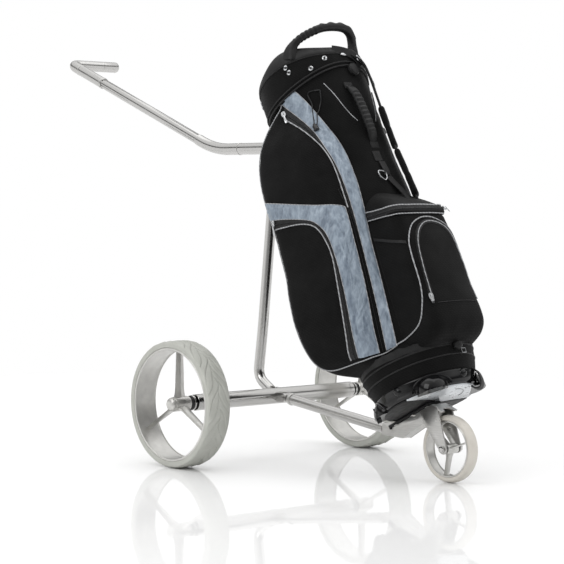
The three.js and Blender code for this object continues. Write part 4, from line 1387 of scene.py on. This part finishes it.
def make_front_trim():
    silver_cord("front_piping_outer", FRONT_OUTER, 1.5, count=260)
    silver_cord("front_piping_inner", FRONT_INNER, 1.3)
    dark_band("front_zip_tape", widened(FRONT_INNER, 0.92, -5), widened(FRONT_INNER, 1.1, 5), lift=0.5,
              thick=1, columns=6, rows=120)
    coil("front_zip_coil", widened(FRONT_INNER, 1.05, 2.5))
    zip_pull("front_zip_pull", (166, -70, 184), (0.1, 0, 1), 13)
    silver_cord("lid_piping_top", LID_TOP, 1.5, lift=1.4)
    silver_cord("lid_piping_foot", LID_FOOT, 1.3, lift=1.4)
    dark_band("lid_zip_tape", LID_TOP, LID_FOOT, lift=0.4, thick=1, columns=6, rows=120)
    coil("lid_zip_coil", between_lines(LID_TOP, LID_FOOT))
    zip_pull("lid_zip_pull", (156, 68, 394), (0, -1, 0.1), 22)
    seam = [(168, -60, 168), (176, 0, 168), (168, 60, 168)]
    laid_cord("front_seam_low", seam, 0.8, WEBBING, "webbing", lift=0.8, count=60)


# ------------------------------------------------------------------ cuff, rim and mouth


# The cuff and the mouth are circles set back from the bag's axis: (centre, radius).
CUFF = (-24, 126)
MOUTH = (-6, 97)


def cuff_reach(angle):
    return reach_of(*CUFF, angle)


def cuff_foot(angle):
    return 764 + 25 * math.cos(angle) - 8 * math.sin(angle) ** 2


def rim_seam(angle):
    return 815 + 6 * math.cos(angle) + 12 * math.sin(angle) ** 2


def rim_top(angle):
    return 840 + 30 * abs(math.sin(angle)) ** 3 - 4 * (1 - math.cos(angle))


def bag_ring(name, ring_at, turns, across):
    """A closed ring about the bag's axis from ring_at(angle, share), which gives radius and height."""

    def place(s, t):
        angle = 2 * math.pi * s
        radius, height = ring_at(angle, t)
        return Vector((radius * math.cos(angle), radius * math.sin(angle), height))

    piece = grid_piece(name, turns, across, place, round_trip=True)
    edit(piece, outwards)
    return placed(piece, BAG)


def hoop_cord(name, radius, ring_at, count=160):
    """A cord round the bag's axis through ring_at(angle), which gives reach and height."""
    line = []
    for i in range(count):
        a = 2 * math.pi * i / count
        reach, height = ring_at(a)
        line.append(Vector((reach * math.cos(a), reach * math.sin(a), height)))
    cord = smooth(tube(name, line, radius, BAG, closed=True, sides=12), 60)
    return give(cord, "bag", WEBBING, "webbing")


def make_cuff():
    section = even_outline([(-7, 0), (-4, 0.01), (-1.6, 0.12), (-0.2, 0.4), (0, 0.7), (-0.8, 0.93),
                            (-2.4, 1), (-7, 1), (-7, 0.5)], 4, 48)

    def ring_at(angle, share):
        inset, level = on_outline(section, share)
        low, high = cuff_foot(angle), rim_seam(angle) - 0.4
        pucker = 0.6 * noise.noise(Vector((math.cos(angle) * 4, math.sin(angle) * 4, level * 2)))
        return cuff_reach(angle) + inset + (pucker if inset > -5 else 0), low + (high - low) * level

    cuff = smooth(bag_ring("cuff_padded_band", ring_at, 200, 48), 50)
    give(cuff, "bag", CLOTH, "black_cloth", ["bag_cuff"])
    cords = (("lower", -1.6, cuff_foot, 0.5, 2.0), ("middle", -0.4, cuff_foot, 9.5, 2.0),
             ("upper", -0.6, rim_seam, -1, 1.5))
    for label, inset, height_at, rise, radius in cords:

        def cord_at(angle, inset=inset, height_at=height_at, rise=rise):
            return cuff_reach(angle) + inset, height_at(angle) + rise

        hoop_cord(f"cuff_cord_{label}", radius, cord_at)


# Where the divider's bars and the walls below them cross the bag.
WALLS = {"front": 31, "rear": -37}


def make_rim():
    # Each point's share of the way from the mouth's edge out to the cuff's face, and its level.
    section = even_outline([(0, 0), (0.5, 0), (0.96, 0), (1, 0.1), (0.97, 0.3), (0.78, 0.6), (0.5, 0.88),
                            (0.28, 1.0), (0.1, 0.98), (0, 0.86), (-0.02, 0.5)], 5, 72)

    def ring_at(angle, share):
        out, level = on_outline(section, share)
        mouth = reach_of(*MOUTH, angle)
        low, high = rim_seam(angle) + 0.4, rim_top(angle)
        return mouth + (cuff_reach(angle) - 0.4 - mouth) * out, low + (high - low) * level

    rim = smooth(bag_ring("mouth_rim_moulded", ring_at, 200, 60), 50)
    give(rim, "bag", RUBBER, "black_rubber", ["bag_rim"])


def make_divider():
    """The moulded six-way divider in the mouth: a hoop, two bars across and a spine."""
    hoop = even_outline([(-6, 806), (-0.6, 806), (-0.6, 828), (-2, 833), (-4, 832), (-6, 828)], 5, 36)

    def hoop_at(angle, share):
        inset, height = on_outline(hoop, share)
        return reach_of(*MOUTH, angle) + inset, height

    parts = [bag_ring("divider_hoop", hoop_at, 120, 36)]
    for across in WALLS.values():
        bar = block(f"divider_bar_{across}", (9, 176, 22), (across, 0, 819), BAG, bevel=4, segments=4)
        parts.append(bar)
    parts.append(block("divider_spine", (184, 9, 21), (MOUTH[0], 0, 818.5), BAG, bevel=4, segments=4))
    mouth = smooth(join(parts, "club_divider_padded"), 50)
    give(mouth, "bag", NYLON, "black_plastic", ["club_divider"])


def make_walls():
    """The two cloth walls that hang down the body from the divider's bars, a little wavy."""
    half_wide, foot, tall = 87, 44, 764
    for label, across in WALLS.items():

        def place(s, t, across=across):
            wave = 1.6 * noise.noise(Vector((s * 3, t * 7, across + 3)))
            return Vector((across + wave, half_wide * (2 * s - 1), foot + tall * t))

        wall = grid_piece(f"divider_curtain_{label}", 24, 80, place)
        modifier(wall, "SOLIDIFY", thickness=1.6, offset=0)
        placed(wall, BAG)
        give(smooth(wall, 50), "bag", LINING, "lining_cloth", ["divider_wall_" + label])


def ring_on(name, angle, height, inner, outer, thick, material, slot):
    """A flat ring or stud on the cuff, facing outwards."""
    a = math.radians(angle)
    radius = cuff_reach(a) - 0.3
    out = Vector((math.cos(a), math.sin(a), 0))
    at = BAG @ facing(out * radius + Vector((0, 0, height)), out, (0, 0, 1))
    if inner:
        profile = [(inner, 0), (outer, 0), (outer, thick * 0.6), ((inner + outer) / 2, thick),
                   (inner, thick * 0.6), (inner, 0)]
    else:
        profile = [(0, -1), (outer, -1), (outer, thick * 0.5), (outer * 0.86, thick * 0.9),
                   (outer * 0.5, thick), (0, thick)]
    return give(smooth(turned(name, profile, at, 40), 30), "bag", material, slot)


def make_studs():
    """The cuff's eyelets, each at an angle in degrees and a height, and its round badge."""
    spots = ((-52, 795), (-77, 806), (-32, 811), (-79, 820), (-138, 799), (-139, 789), (52, 795), (77, 806),
             (32, 811), (138, 799))
    for number, (angle, height) in enumerate(spots):
        ring_on(f"cuff_eyelet_{number}", angle, height, 2.6, 5.8, 2.6, ZINC, "bright_zinc")
        ring_on(f"cuff_eyelet_hole_{number}", angle, height, 0, 2.8, 0.6, NYLON, "black_plastic")
    ring_on("cuff_round_badge", 5, 778, 0, 15, 9, RUBBER, "black_rubber")


# ------------------------------------------------------------------ handles and straps


def swept(name, line, outline_at, matrix, across):
    """A closed bar along a line; outline_at(share) gives its (side, up) outline points."""
    rings = []
    for i, spot in enumerate(line):
        ahead = (line[min(i + 1, len(line) - 1)] - line[max(i - 1, 0)]).normalized()
        up = ahead.cross(across).normalized()
        side = up.cross(ahead).normalized()
        rings.append([spot + side * a + up * b for a, b in outline_at(i / (len(line) - 1))])
    return lofted(name, rings, matrix)


def web_strap(name, path, half_width, half_thick, across, count=40):
    """A flat strap of webbing through given bag points."""
    line = evenly(smooth_line(path), count)
    piece = swept(name, line, lambda share: oval(half_width, half_thick, 16, 4), BAG, across)
    return give(smooth(piece, 50), "bag", WEBBING, "webbing")


def square_ring(name, half_wide, half_tall, radius, at, sides=10):
    """A flat four-cornered ring of round wire."""
    corners = ((-half_wide, -half_tall), (half_wide, -half_tall), (half_wide, half_tall),
               (-half_wide, half_tall))
    return tube(name, [Vector((x, 0, z)) for x, z in corners], radius, at, closed=True, sides=sides)


def oval(half_width, half_thick, count=28, power=2.6):
    """An outline between an ellipse and a rectangle; a higher power has squarer corners."""
    points = []
    for i in range(count):
        a = 2 * math.pi * i / count
        c, s = math.cos(a), math.sin(a)
        x = half_width * math.copysign(abs(c) ** (2 / power), c)
        y = half_thick * math.copysign(abs(s) ** (2 / power), s)
        points.append((x, y))
    return points


FINGERS = 4
RIDGE_TURN = 150  # radians along the whole handle, so a ridge every 4 per cent of it


def make_top_handle():
    """The carry handle: a thick foot, close ridges on its rise, then four finger dents beneath."""
    path = [(28, -100, 838), (42, -96, 862), (62, -80, 877), (86, -42, 889), (96, -8, 892), (99, 28, 889),
            (92, 50, 879), (81, 59, 862), (72, 58, 836)]
    line = evenly(smooth_line(path, 10), 120)

    def outline_at(share):
        foot = 1.6 * ease((0.18 - share) / 0.18) + 0.5 * ease((share - 0.9) / 0.1)
        half, thick = 10 + 7 * foot, 9 + 4 * foot
        shape = []
        for side, up in oval(half, thick, 36):
            inner = up if up < 0 else 0
            if 0.45 < share < 0.86:
                up += 1.9 * (inner / thick) * math.cos((share - 0.45) / 0.41 * 2 * math.pi * FINGERS)
            shape.append((side, up))
        if 0.17 < share < 0.4:
            ridges = math.sin(share * RIDGE_TURN)
            swell = 1 + 0.07 * math.copysign(abs(ridges) ** 0.5, ridges)
            shape = [(side * swell, up * swell) for side, up in shape]
        return shape

    piece = smooth(swept("top_handle_moulded", line, outline_at, BAG, Vector((1, 0, 0))), 50)
    give(piece, "bag", RUBBER, "black_rubber", ["top_handle"])


GRAB_RIBS = 14


def make_grab_handle():
    path = [(98, -20, 736), (106, -20, 723), (112, -19, 704), (114, -17, 674), (113, -13, 640),
            (109, -9, 612),
            (98, -5, 592)]
    line = evenly(smooth_line(path, 10), 90)

    def outline_at(share):
        body = ease(share / 0.12) * ease((1 - share) / 0.12)
        half, thick = 9 + 3 * body, 2.5 + 3 * body
        if 0.16 < share < 0.84:
            thick += 1.1 * math.sin(share * 2 * math.pi * GRAB_RIBS)
        return oval(half, thick, 28, 3)

    piece = smooth(swept("grab_handle_ribbed", line, outline_at, BAG, Vector((0, 1, 0))), 45)
    give(piece, "bag", RUBBER, "black_rubber", ["grab_handle"])
    for label, spot in (("top", (98, -20, 738)), ("foot", (99.5, -4, 586))):
        patch = block(f"grab_handle_patch_{label}", (3, 24, 16), spot, BAG, bevel=1.5)
        give(smooth(patch), "bag", WEBBING, "webbing")


STRAP_PATH = [(99, 20, 815), (107, 32, 801), (110, 42, 784), (110, 46, 752), (110, 46, 710), (110, 46, 670),
              (110, 46, 630), (111, 46, 577), (117, 46, 509), (121, 46, 446), (113, 44, 422)]
STRAP_ACROSS = Vector((-0.66, 0.75, 0))


def make_shoulder_strap():
    line = evenly(smooth_line(STRAP_PATH, 10), 160)

    def strap(share):
        return oval(14, 3.0, 20, 3)

    def pad(share):
        grown = 0.55 + 0.45 * ease(share / 0.06) * ease((1 - share) / 0.06)
        waist = 1 - 0.18 * math.exp(-(((share - 0.5) / 0.06) ** 2))
        return oval(23 * grown, 7.6 * grown * waist, 32, 3)

    webbing = smooth(swept("shoulder_strap_webbing", line, strap, BAG, STRAP_ACROSS), 50)
    give(webbing, "bag", WEBBING, "webbing")
    # Where each pad starts and ends, and where the slides sit, as points along the strap.
    pads = (("upper", 58, 99), ("lower", 101, 150))
    slides = (("upper", 34), ("lower", 154))
    for label, start, end in pads:
        piece = swept(f"shoulder_pad_{label}", line[start:end], pad, BAG, STRAP_ACROSS)
        sag(piece, 1.0, 40, seed=5)
        stands = ["shoulder_strap"] if label == "upper" else []
        give(smooth(piece, 50), "bag", CLOTH, "black_cloth", stands)
    for label, i in slides:
        ahead = (line[i + 1] - line[i - 1]).normalized()
        out = STRAP_ACROSS.cross(ahead)
        out = out if out.x > 0 else -out
        at = BAG @ facing(line[i] + out * 1.6, out, ahead)
        ring = square_ring(f"strap_slide_{label}", 15, 9, 1.7, at)
        across = [Vector((-15, 1, 0)), Vector((0, 1.4, 0)), Vector((15, 1, 0))]
        bar = tube(f"strap_slide_bar_{label}", across, 1.5, at, sides=10)
        give(smooth(join([ring, bar], f"strap_buckle_{label}"), 50), "bag", NYLON, "black_plastic")


def make_waist_ring():
    """The ring under the grab handle, on its webbing tab, and the strap that runs from it to the lid."""
    ring = smooth_line([(0, 0, 0), (17, 0, 0), (15, 0, -12), (2, 0, -20), (-4, 0, -12)], closed=True)
    at = BAG @ facing((110.5, -14, 512), (1, -0.1, 0), (0, 0.25, 1))
    piece = tube("waist_ring", ring, 1.5, at, closed=True, sides=12)
    give(smooth(piece, 60), "bag", ZINC, "bright_zinc")
    sideways = Vector((0, 1, 0))
    down = [(109, -6, 502), (113, 2, 484), (119, 11, 462), (124, 18, 440)]
    web_strap("waist_strap_down", down, 9, 1.1, sideways)
    tab = [(105, -6, 542), (108, -7, 528), (111, -8, 514), (109, -8, 505), (106, -7, 520)]
    web_strap("waist_strap_tab", tab, 9, 1.1, sideways)
    patch_top = [(108, -22, 570), (109, 0, 570)]
    patch_foot = [(108, -22, 545), (109, 0, 545)]
    dark_band("waist_patch", patch_top, patch_foot, lift=1.4, rows=16, columns=8)


def make_cuff_hook():
    """The hook plate on the cuff's front, with its strap and buckle."""
    outline = [(-19, 3), (-14, 5), (13, 6), (18, 2), (6, -2), (-14, 0)]
    at = BAG @ facing((103, 0, 814), (1, 0, 0.1), (0.1, -0.12, 1))
    hook = plate("cuff_hook_plate", outline, 0, 2.4, at, bevel=0.8)
    give(smooth(hook, 35), "bag", ZINC, "bright_zinc")
    run = [(96, -30, 832), (103, -12, 826), (107, 10, 818), (108, 26, 806), (106, 38, 790)]
    web_strap("cuff_strap", run, 10, 1.2, Vector((0.2, 0.3, 1)), count=50)
    at = BAG @ facing((111, 30, 800), (1, 0.3, 0.1), (0, 0.5, 1))
    give(smooth(square_ring("cuff_buckle", 9, 7, 1.5, at), 50), "bag", ZINC, "bright_zinc")


# ------------------------------------------------------------------ skirt and base


def make_skirt_trim():
    for number, (height, reach, tilt) in enumerate(((64, 123.6, 3), (86, 127.4, 2))):

        def cord_at(angle, height=height, reach=reach, tilt=tilt):
            return reach, height + tilt * math.cos(angle)

        hoop_cord(f"skirt_cord_{number}", 1.8, cord_at, count=180)


def make_neck_band():
    """A loose crumpled band round the neck, over the skirt's top."""
    section = even_outline([(124, 0), (126.4, 0), (128.4, 0.3), (129.2, 0.8), (130.6, 1), (128.6, 1.04),
                            (126.4, 0.75), (124.6, 0.3)], 4, 30)

    def ring_at(angle, share):
        radius, level = on_outline(section, share)
        crumple = noise.noise(Vector((math.cos(angle) * 3, math.sin(angle) * 3, level * 0.8)))
        fine = noise.noise(Vector((math.cos(angle) * 9, math.sin(angle) * 9, level * 2)))
        front = 0.5 + 0.5 * math.cos(angle)
        lift = 2 * math.sin(3 * angle) + 4 * crumple
        width = 9 + 8 * front + 3 * fine
        return radius - 1 + 2.4 * front + 3 * crumple * level, 89 + lift + width * level

    band = smooth(bag_ring("neck_band", ring_at, 180, 30), 50)
    give(band, "bag", WEBBING, "webbing", ["lower_strap"])


def make_toggle():
    """The round grooved toggle on the neck band's front, and the wire ring below it."""
    bpy.ops.object.select_all(action="DESELECT")
    bpy.ops.mesh.primitive_uv_sphere_add(segments=40, ring_count=24, radius=11)
    ball = added("neck_toggle")
    for vertex in ball.data.vertices:
        groove = 1 - 0.06 * math.exp(-((vertex.co.z / 1.4) ** 2))
        vertex.co = Vector((vertex.co.x * groove, vertex.co.y * groove, vertex.co.z * 0.94))
    placed(ball, BAG @ Matrix.Translation((134, -4, 82)))
    give(smooth(ball, 60), "bag", RUBBER, "black_rubber")
    at = BAG @ facing((131, 12, 70), (1, 0, 0), (0, 0, 1))
    ring = square_ring("neck_toggle_ring", 6, 5, 1.2, at, sides=8)
    give(smooth(ring, 50), "bag", ZINC, "bright_zinc")


def keep_above(piece, height_mm):
    """Flattens what reaches below a height along the bag."""
    for vertex in piece.data.vertices:
        spot = BAG_BACK @ vertex.co
        if spot.z < height_mm:
            spot.z = height_mm
            vertex.co = BAG @ spot
    return piece


def on_side(degrees, radius, height):
    """A matrix on the bag's side that faces straight out, with its z up the bag."""
    a = math.radians(degrees)
    out = Vector((math.cos(a), math.sin(a), 0))
    return BAG @ facing(out * radius + Vector((0, 0, height)), out, (0, 0, 1))


def round_line(points):
    """A smooth (radius, height) profile through given points."""
    return [(p.x, p.y) for p in smooth_line([(x, y, 0) for x, y in points], 5)]


BASE_RADIUS = 114.3


def make_foot(angle):
    """One of the base's four round feet: a dome with two raised brows over it."""
    set_in = 96
    at = on_side(angle, set_in, 4)
    dome = round_line([(0, 32), (10, 30.8), (20, 26.8), (28.5, 19.5), (34, 9), (35, -4)])
    foot = turned(f"base_dome_{angle}", [*dome, (0, -4), (0, 32)], at, 96)
    parts = [smooth(keep_above(foot, 0.2), 40)]
    for number, (half, rise, proud, thick) in enumerate(((45, 29.5, 0.6, 2.4), (39, 33, -1.5, 1.6))):
        brow = []
        for x, z in arc(0, 0, 1, 2, 178, 60):
            x, z = half * x, min(rise * z, 30.5)
            wall = math.sqrt(BASE_RADIUS**2 - x * x) - set_in
            brow.append(Vector((x, wall + proud, z)))
        parts.append(smooth(tube(f"base_brow_{angle}_{number}", brow, thick, at, sides=12), 60))
    return parts


def make_base():
    """The gloss cup under the skirt with its feet and round studs, joined as one moulding."""
    outer = round_line([(98, 3.4), (104, 3.4), (109, 6), (112.4, 11), (114, 18), (114.6, 28), (114.6, 34),
                        (112, 36.4), (108, 36.4)])
    profile = [(0, 3.4), *outer, (106, 15), (0, 15), (0, 3.4)]
    parts = [smooth(turned("base_shell_gloss", profile, BAG, 160, axis="Z"), 40)]
    for angle in (-40, 50, 140, -130):
        parts += make_foot(angle)
    stud = [(0, 7), (4, 6.6), (8, 4.8), (10.5, 1), (11, -3), (0, -3), (0, 7)]
    for angle in (-79, 3, 92, 180):
        parts.append(smooth(turned(f"base_stud_{angle}", stud, on_side(angle, 112.5, 25), 48), 50))
    give(join(parts, "base_shell_moulded"), "bag", GLOSS, "gloss_plastic", ["base_cup"])


def make_underside():
    """The underside: silver in front, and a black half behind that is painted shade on the unlit side of the
    same silver disc, with a curved slot and small screw holes.
    """
    under = BAG @ facing((0, 0, 0), (0, 0, 1), (0, 1, 0))
    light = [*arc(0, 0, 105, -74, 82, 60), (10, 60), (4, 31), (14, 2), (25, -27), (29, -60)]
    # Painted shade: this black rear half stands for the unlit side of the silver disc and is coloured as
    # black rubber.
    dark = [*arc(0, 0, 106, 84, 284, 70), (27.5, -60), (23, -27), (12, 2), (2, 31), (8, 60)]
    halves = (
        ("base_plate_painted", light, 0.3, SILVER, "silver_plastic", ["base_plate"]),
        ("base_underside_painted_shade", dark, 0.0, RUBBER, "black_rubber", []),
    )
    for name, outline, low, material, slot, stands_for in halves:
        seen_from_below = [(-x, z) for x, z in reversed(outline)]
        half = smooth(plate(name, seen_from_below, low, 3.2, under, bevel=0.5), 30)
        give(half, "bag", material, slot, stands_for)
    slot_line = [Vector((u, v, 0.3)) for u, v in arc(32, 4, 50, -5, 85, 30)]
    groove = tube("base_plate_slot", slot_line, 0.8, BAG, sides=8)
    give(smooth(groove, 50), "bag", NYLON, "black_plastic")
    hole = [(0, 0.1), (1.9, 0.1), (1.9, 0.9), (0, 0.9)]
    holes = []
    for number, (u, v) in enumerate(((82, 34), (86, 28), (88, 40), (92, 32), (52, -2), (40, 22))):
        at = BAG @ Matrix.Translation((u, v, 0))
        holes.append(smooth(turned(f"base_hole_{number}", hole, at, 20, axis="Z"), 30))
    give(join(holes, "base_plate_holes"), "bag", NYLON, "black_plastic")


def make_base_trim():
    """A fin of gloss plastic that hangs at the rear right, and a pull loop at the front left."""
    fin = [(-15, 10), (-13, -16), (-8, -23), (2, -22), (7, -8), (9, 10)]
    piece = plate("base_fin", fin, -3, 8, on_side(-137, 116, 16), bevel=2.4, segments=3)
    give(smooth(piece, 40), "bag", GLOSS, "gloss_plastic")
    loop = [(96, 56, 40), (106, 61, 26), (110, 60, 6), (107, 54, -8), (100, 46, -9), (94, 42, -2)]
    web_strap("base_pull_loop", loop, 13, 2, Vector((-0.5, 0.86, 0)), count=50)


def make_forms():
    """The body, the pockets and the lid, which all the sewn trim lies on."""
    forms = [make_shell()]
    for side, label in ((-1, "right"), (1, "left")):
        pockets = smooth(side_form(label + "_side_pockets", side), 50)
        stands_for = [label + "_upper_pocket", label + "_lower_pocket"]
        forms.append(give(pockets, "bag", CLOTH, "black_cloth", stands_for))
    for name, table, cad in (("front_pocket_body", FRONT_ROWS, "front_pocket"),
                             ("front_pocket_lid", FLAP_ROWS, "flap_pocket")):
        form = smooth(front_form(name, table), 50)
        forms.append(give(form, "bag", CLOTH, "black_cloth", [cad]))
    return forms


SKIN = form_tree(make_forms())
for hand in (-1, 1):
    make_side_trim(hand)
make_front_trim()
make_cuff()
make_rim()
make_divider()
make_walls()
make_studs()
make_top_handle()
make_grab_handle()
make_shoulder_strap()
make_waist_ring()
make_cuff_hook()
make_skirt_trim()
make_neck_band()
make_toggle()
make_base()
make_underside()
make_base_trim()

# ------------------------------------------------------------------ the studio

# Where the camera stands in metres, which way it looks (from x towards y, and down) and its tilt.
EYE = Vector((3.6489, -3.1879, 0.6227))
AZIMUTH, PITCH, ROLL = (math.radians(angle) for angle in (137.9515, 2.4781, 0.235))
LENS_MM = 128.51


def make_camera():
    bpy.ops.object.select_all(action="DESELECT")
    bpy.ops.object.camera_add(location=EYE)
    camera = bpy.context.active_object
    ahead = Vector((math.cos(AZIMUTH) * math.cos(PITCH), math.sin(AZIMUTH) * math.cos(PITCH),
                    -math.sin(PITCH)))
    right = ahead.cross(Vector((0, 0, 1))).normalized()
    up = right.cross(ahead)
    right, up = (right * math.cos(ROLL) + up * math.sin(ROLL), up * math.cos(ROLL) - right * math.sin(ROLL))
    turn = Matrix((right, up, -ahead)).transposed().to_4x4()
    camera.matrix_world = Matrix.Translation(EYE) @ turn
    camera.data.sensor_width = 36
    camera.data.lens = LENS_MM
    camera.data.clip_end = 200
    bpy.context.scene.camera = camera


def make_floor():
    bpy.ops.object.select_all(action="DESELECT")
    bpy.ops.mesh.primitive_plane_add(size=60, location=(0, 0, -0.0005))
    floor = added("studio_floor")
    # White acrylic studio floor: matt white under a thin, weak mirror.
    material = bpy.data.materials.new("white_acrylic_floor")
    material.use_nodes = True
    material.node_tree.nodes.clear()
    matt = add(material, "BsdfDiffuse", {"Color": linear("#efefef")})
    mirror = add(material, "BsdfGlossy", {"Color": (1, 1, 1, 1), "Roughness": 0.02})
    both = add(material, "MixShader", {0: 0.3, 1: matt.outputs[0], 2: mirror.outputs[0]})
    # The sheet fades out with distance, so that it has no edge against the white wall.
    place = add(material, "TexCoord", {}).outputs["Object"]
    away = add(material, "VectorMath", {0: place}, operation="LENGTH")
    gone = add(material, "MapRange", {"Value": away.outputs["Value"], "From Min": 1.0, "From Max": 2.3})
    clear = add(material, "BsdfTransparent", {})
    faded = add(material, "MixShader", {0: gone.outputs[0], 1: both.outputs[0], 2: clear.outputs[0]})
    add(material, "OutputMaterial", {"Surface": faded.outputs[0]})
    floor.data.materials.append(material)


def soft_box(name, centre, aim, size, power, mirrored=True):
    """A rectangular lamp aimed at a place, which floor and metal can mirror or not."""
    bpy.ops.object.select_all(action="DESELECT")
    bpy.ops.object.light_add(type="AREA", location=centre)
    lamp = bpy.context.active_object
    lamp.name = name
    lamp.data.shape = "RECTANGLE"
    lamp.data.size, lamp.data.size_y = size
    lamp.data.energy = power
    lamp.visible_glossy = mirrored
    lamp.rotation_euler = (Vector(centre) - Vector(aim)).to_track_quat("Z", "Y").to_euler()


def make_world():
    """Seen directly the room is white; what metal and gloss mirror is a room with dark parts."""
    world = bpy.data.worlds.new("studio_world")
    bpy.context.scene.world = world
    world.use_nodes = True
    world.node_tree.nodes.clear()
    way = add(world, "TexCoord", {}).outputs["Generated"]
    # By height: a white wall, a dark gap above it, then a bright ceiling.
    height = add(world, "SeparateXYZ", {0: way}).outputs["Z"]
    levels = add(world, "ValToRGB", {0: height})
    steps = ((0.0, 1.0), (0.16, 1.0), (0.27, 0.1), (0.4, 0.14), (0.52, 0.95), (0.8, 1.0))
    ramp = levels.color_ramp.elements
    while len(ramp) < len(steps):
        ramp.new(0.5)
    for element, (position, level) in zip(ramp, steps):
        element.position = position
        element.color = (level, level, level, 1)
    # One corner of the room is dark, so that round tubes get a shaded side.
    towards = add(world, "VectorMath", {0: way, 1: (0.75, -0.66, 0)}, operation="DOT_PRODUCT")
    shade = add(world, "MapRange", {"Value": towards.outputs["Value"], "From Min": 0.3, "From Max": 0.9,
                                    "To Min": 1.0, "To Max": 0.25})
    seen = add(world, "Background", {"Color": (1, 1, 1, 1)})
    mirrored = add(world, "Background", {"Color": levels.outputs[0], "Strength": shade.outputs[0]})
    ray = add(world, "LightPath", {}).outputs["Is Glossy Ray"]
    mix = add(world, "MixShader", {0: ray, 1: seen.outputs[0], 2: mirrored.outputs[0]})
    add(world, "OutputWorld", {"Surface": mix.outputs[0]})


def make_lamps():
    soft_box("key_left", (0.6, -3.6, 2.6), (0.1, 0, 0.5), (2.4, 2.0), 34)
    soft_box("fill_right", (3.6, 1.6, 2.0), (0.2, 0, 0.5), (1.6, 2.4), 18, mirrored=False)
    soft_box("top", (0.0, 0.3, 3.4), (0.1, 0, 0.4), (3.4, 3.4), 26)
    soft_box("rim_behind", (-2.8, 2.2, 2.2), (0.1, 0, 0.6), (1.8, 2.0), 16, mirrored=False)


make_camera()
make_floor()
make_world()
make_lamps()
bpy.context.scene.view_settings.view_transform = "Standard"
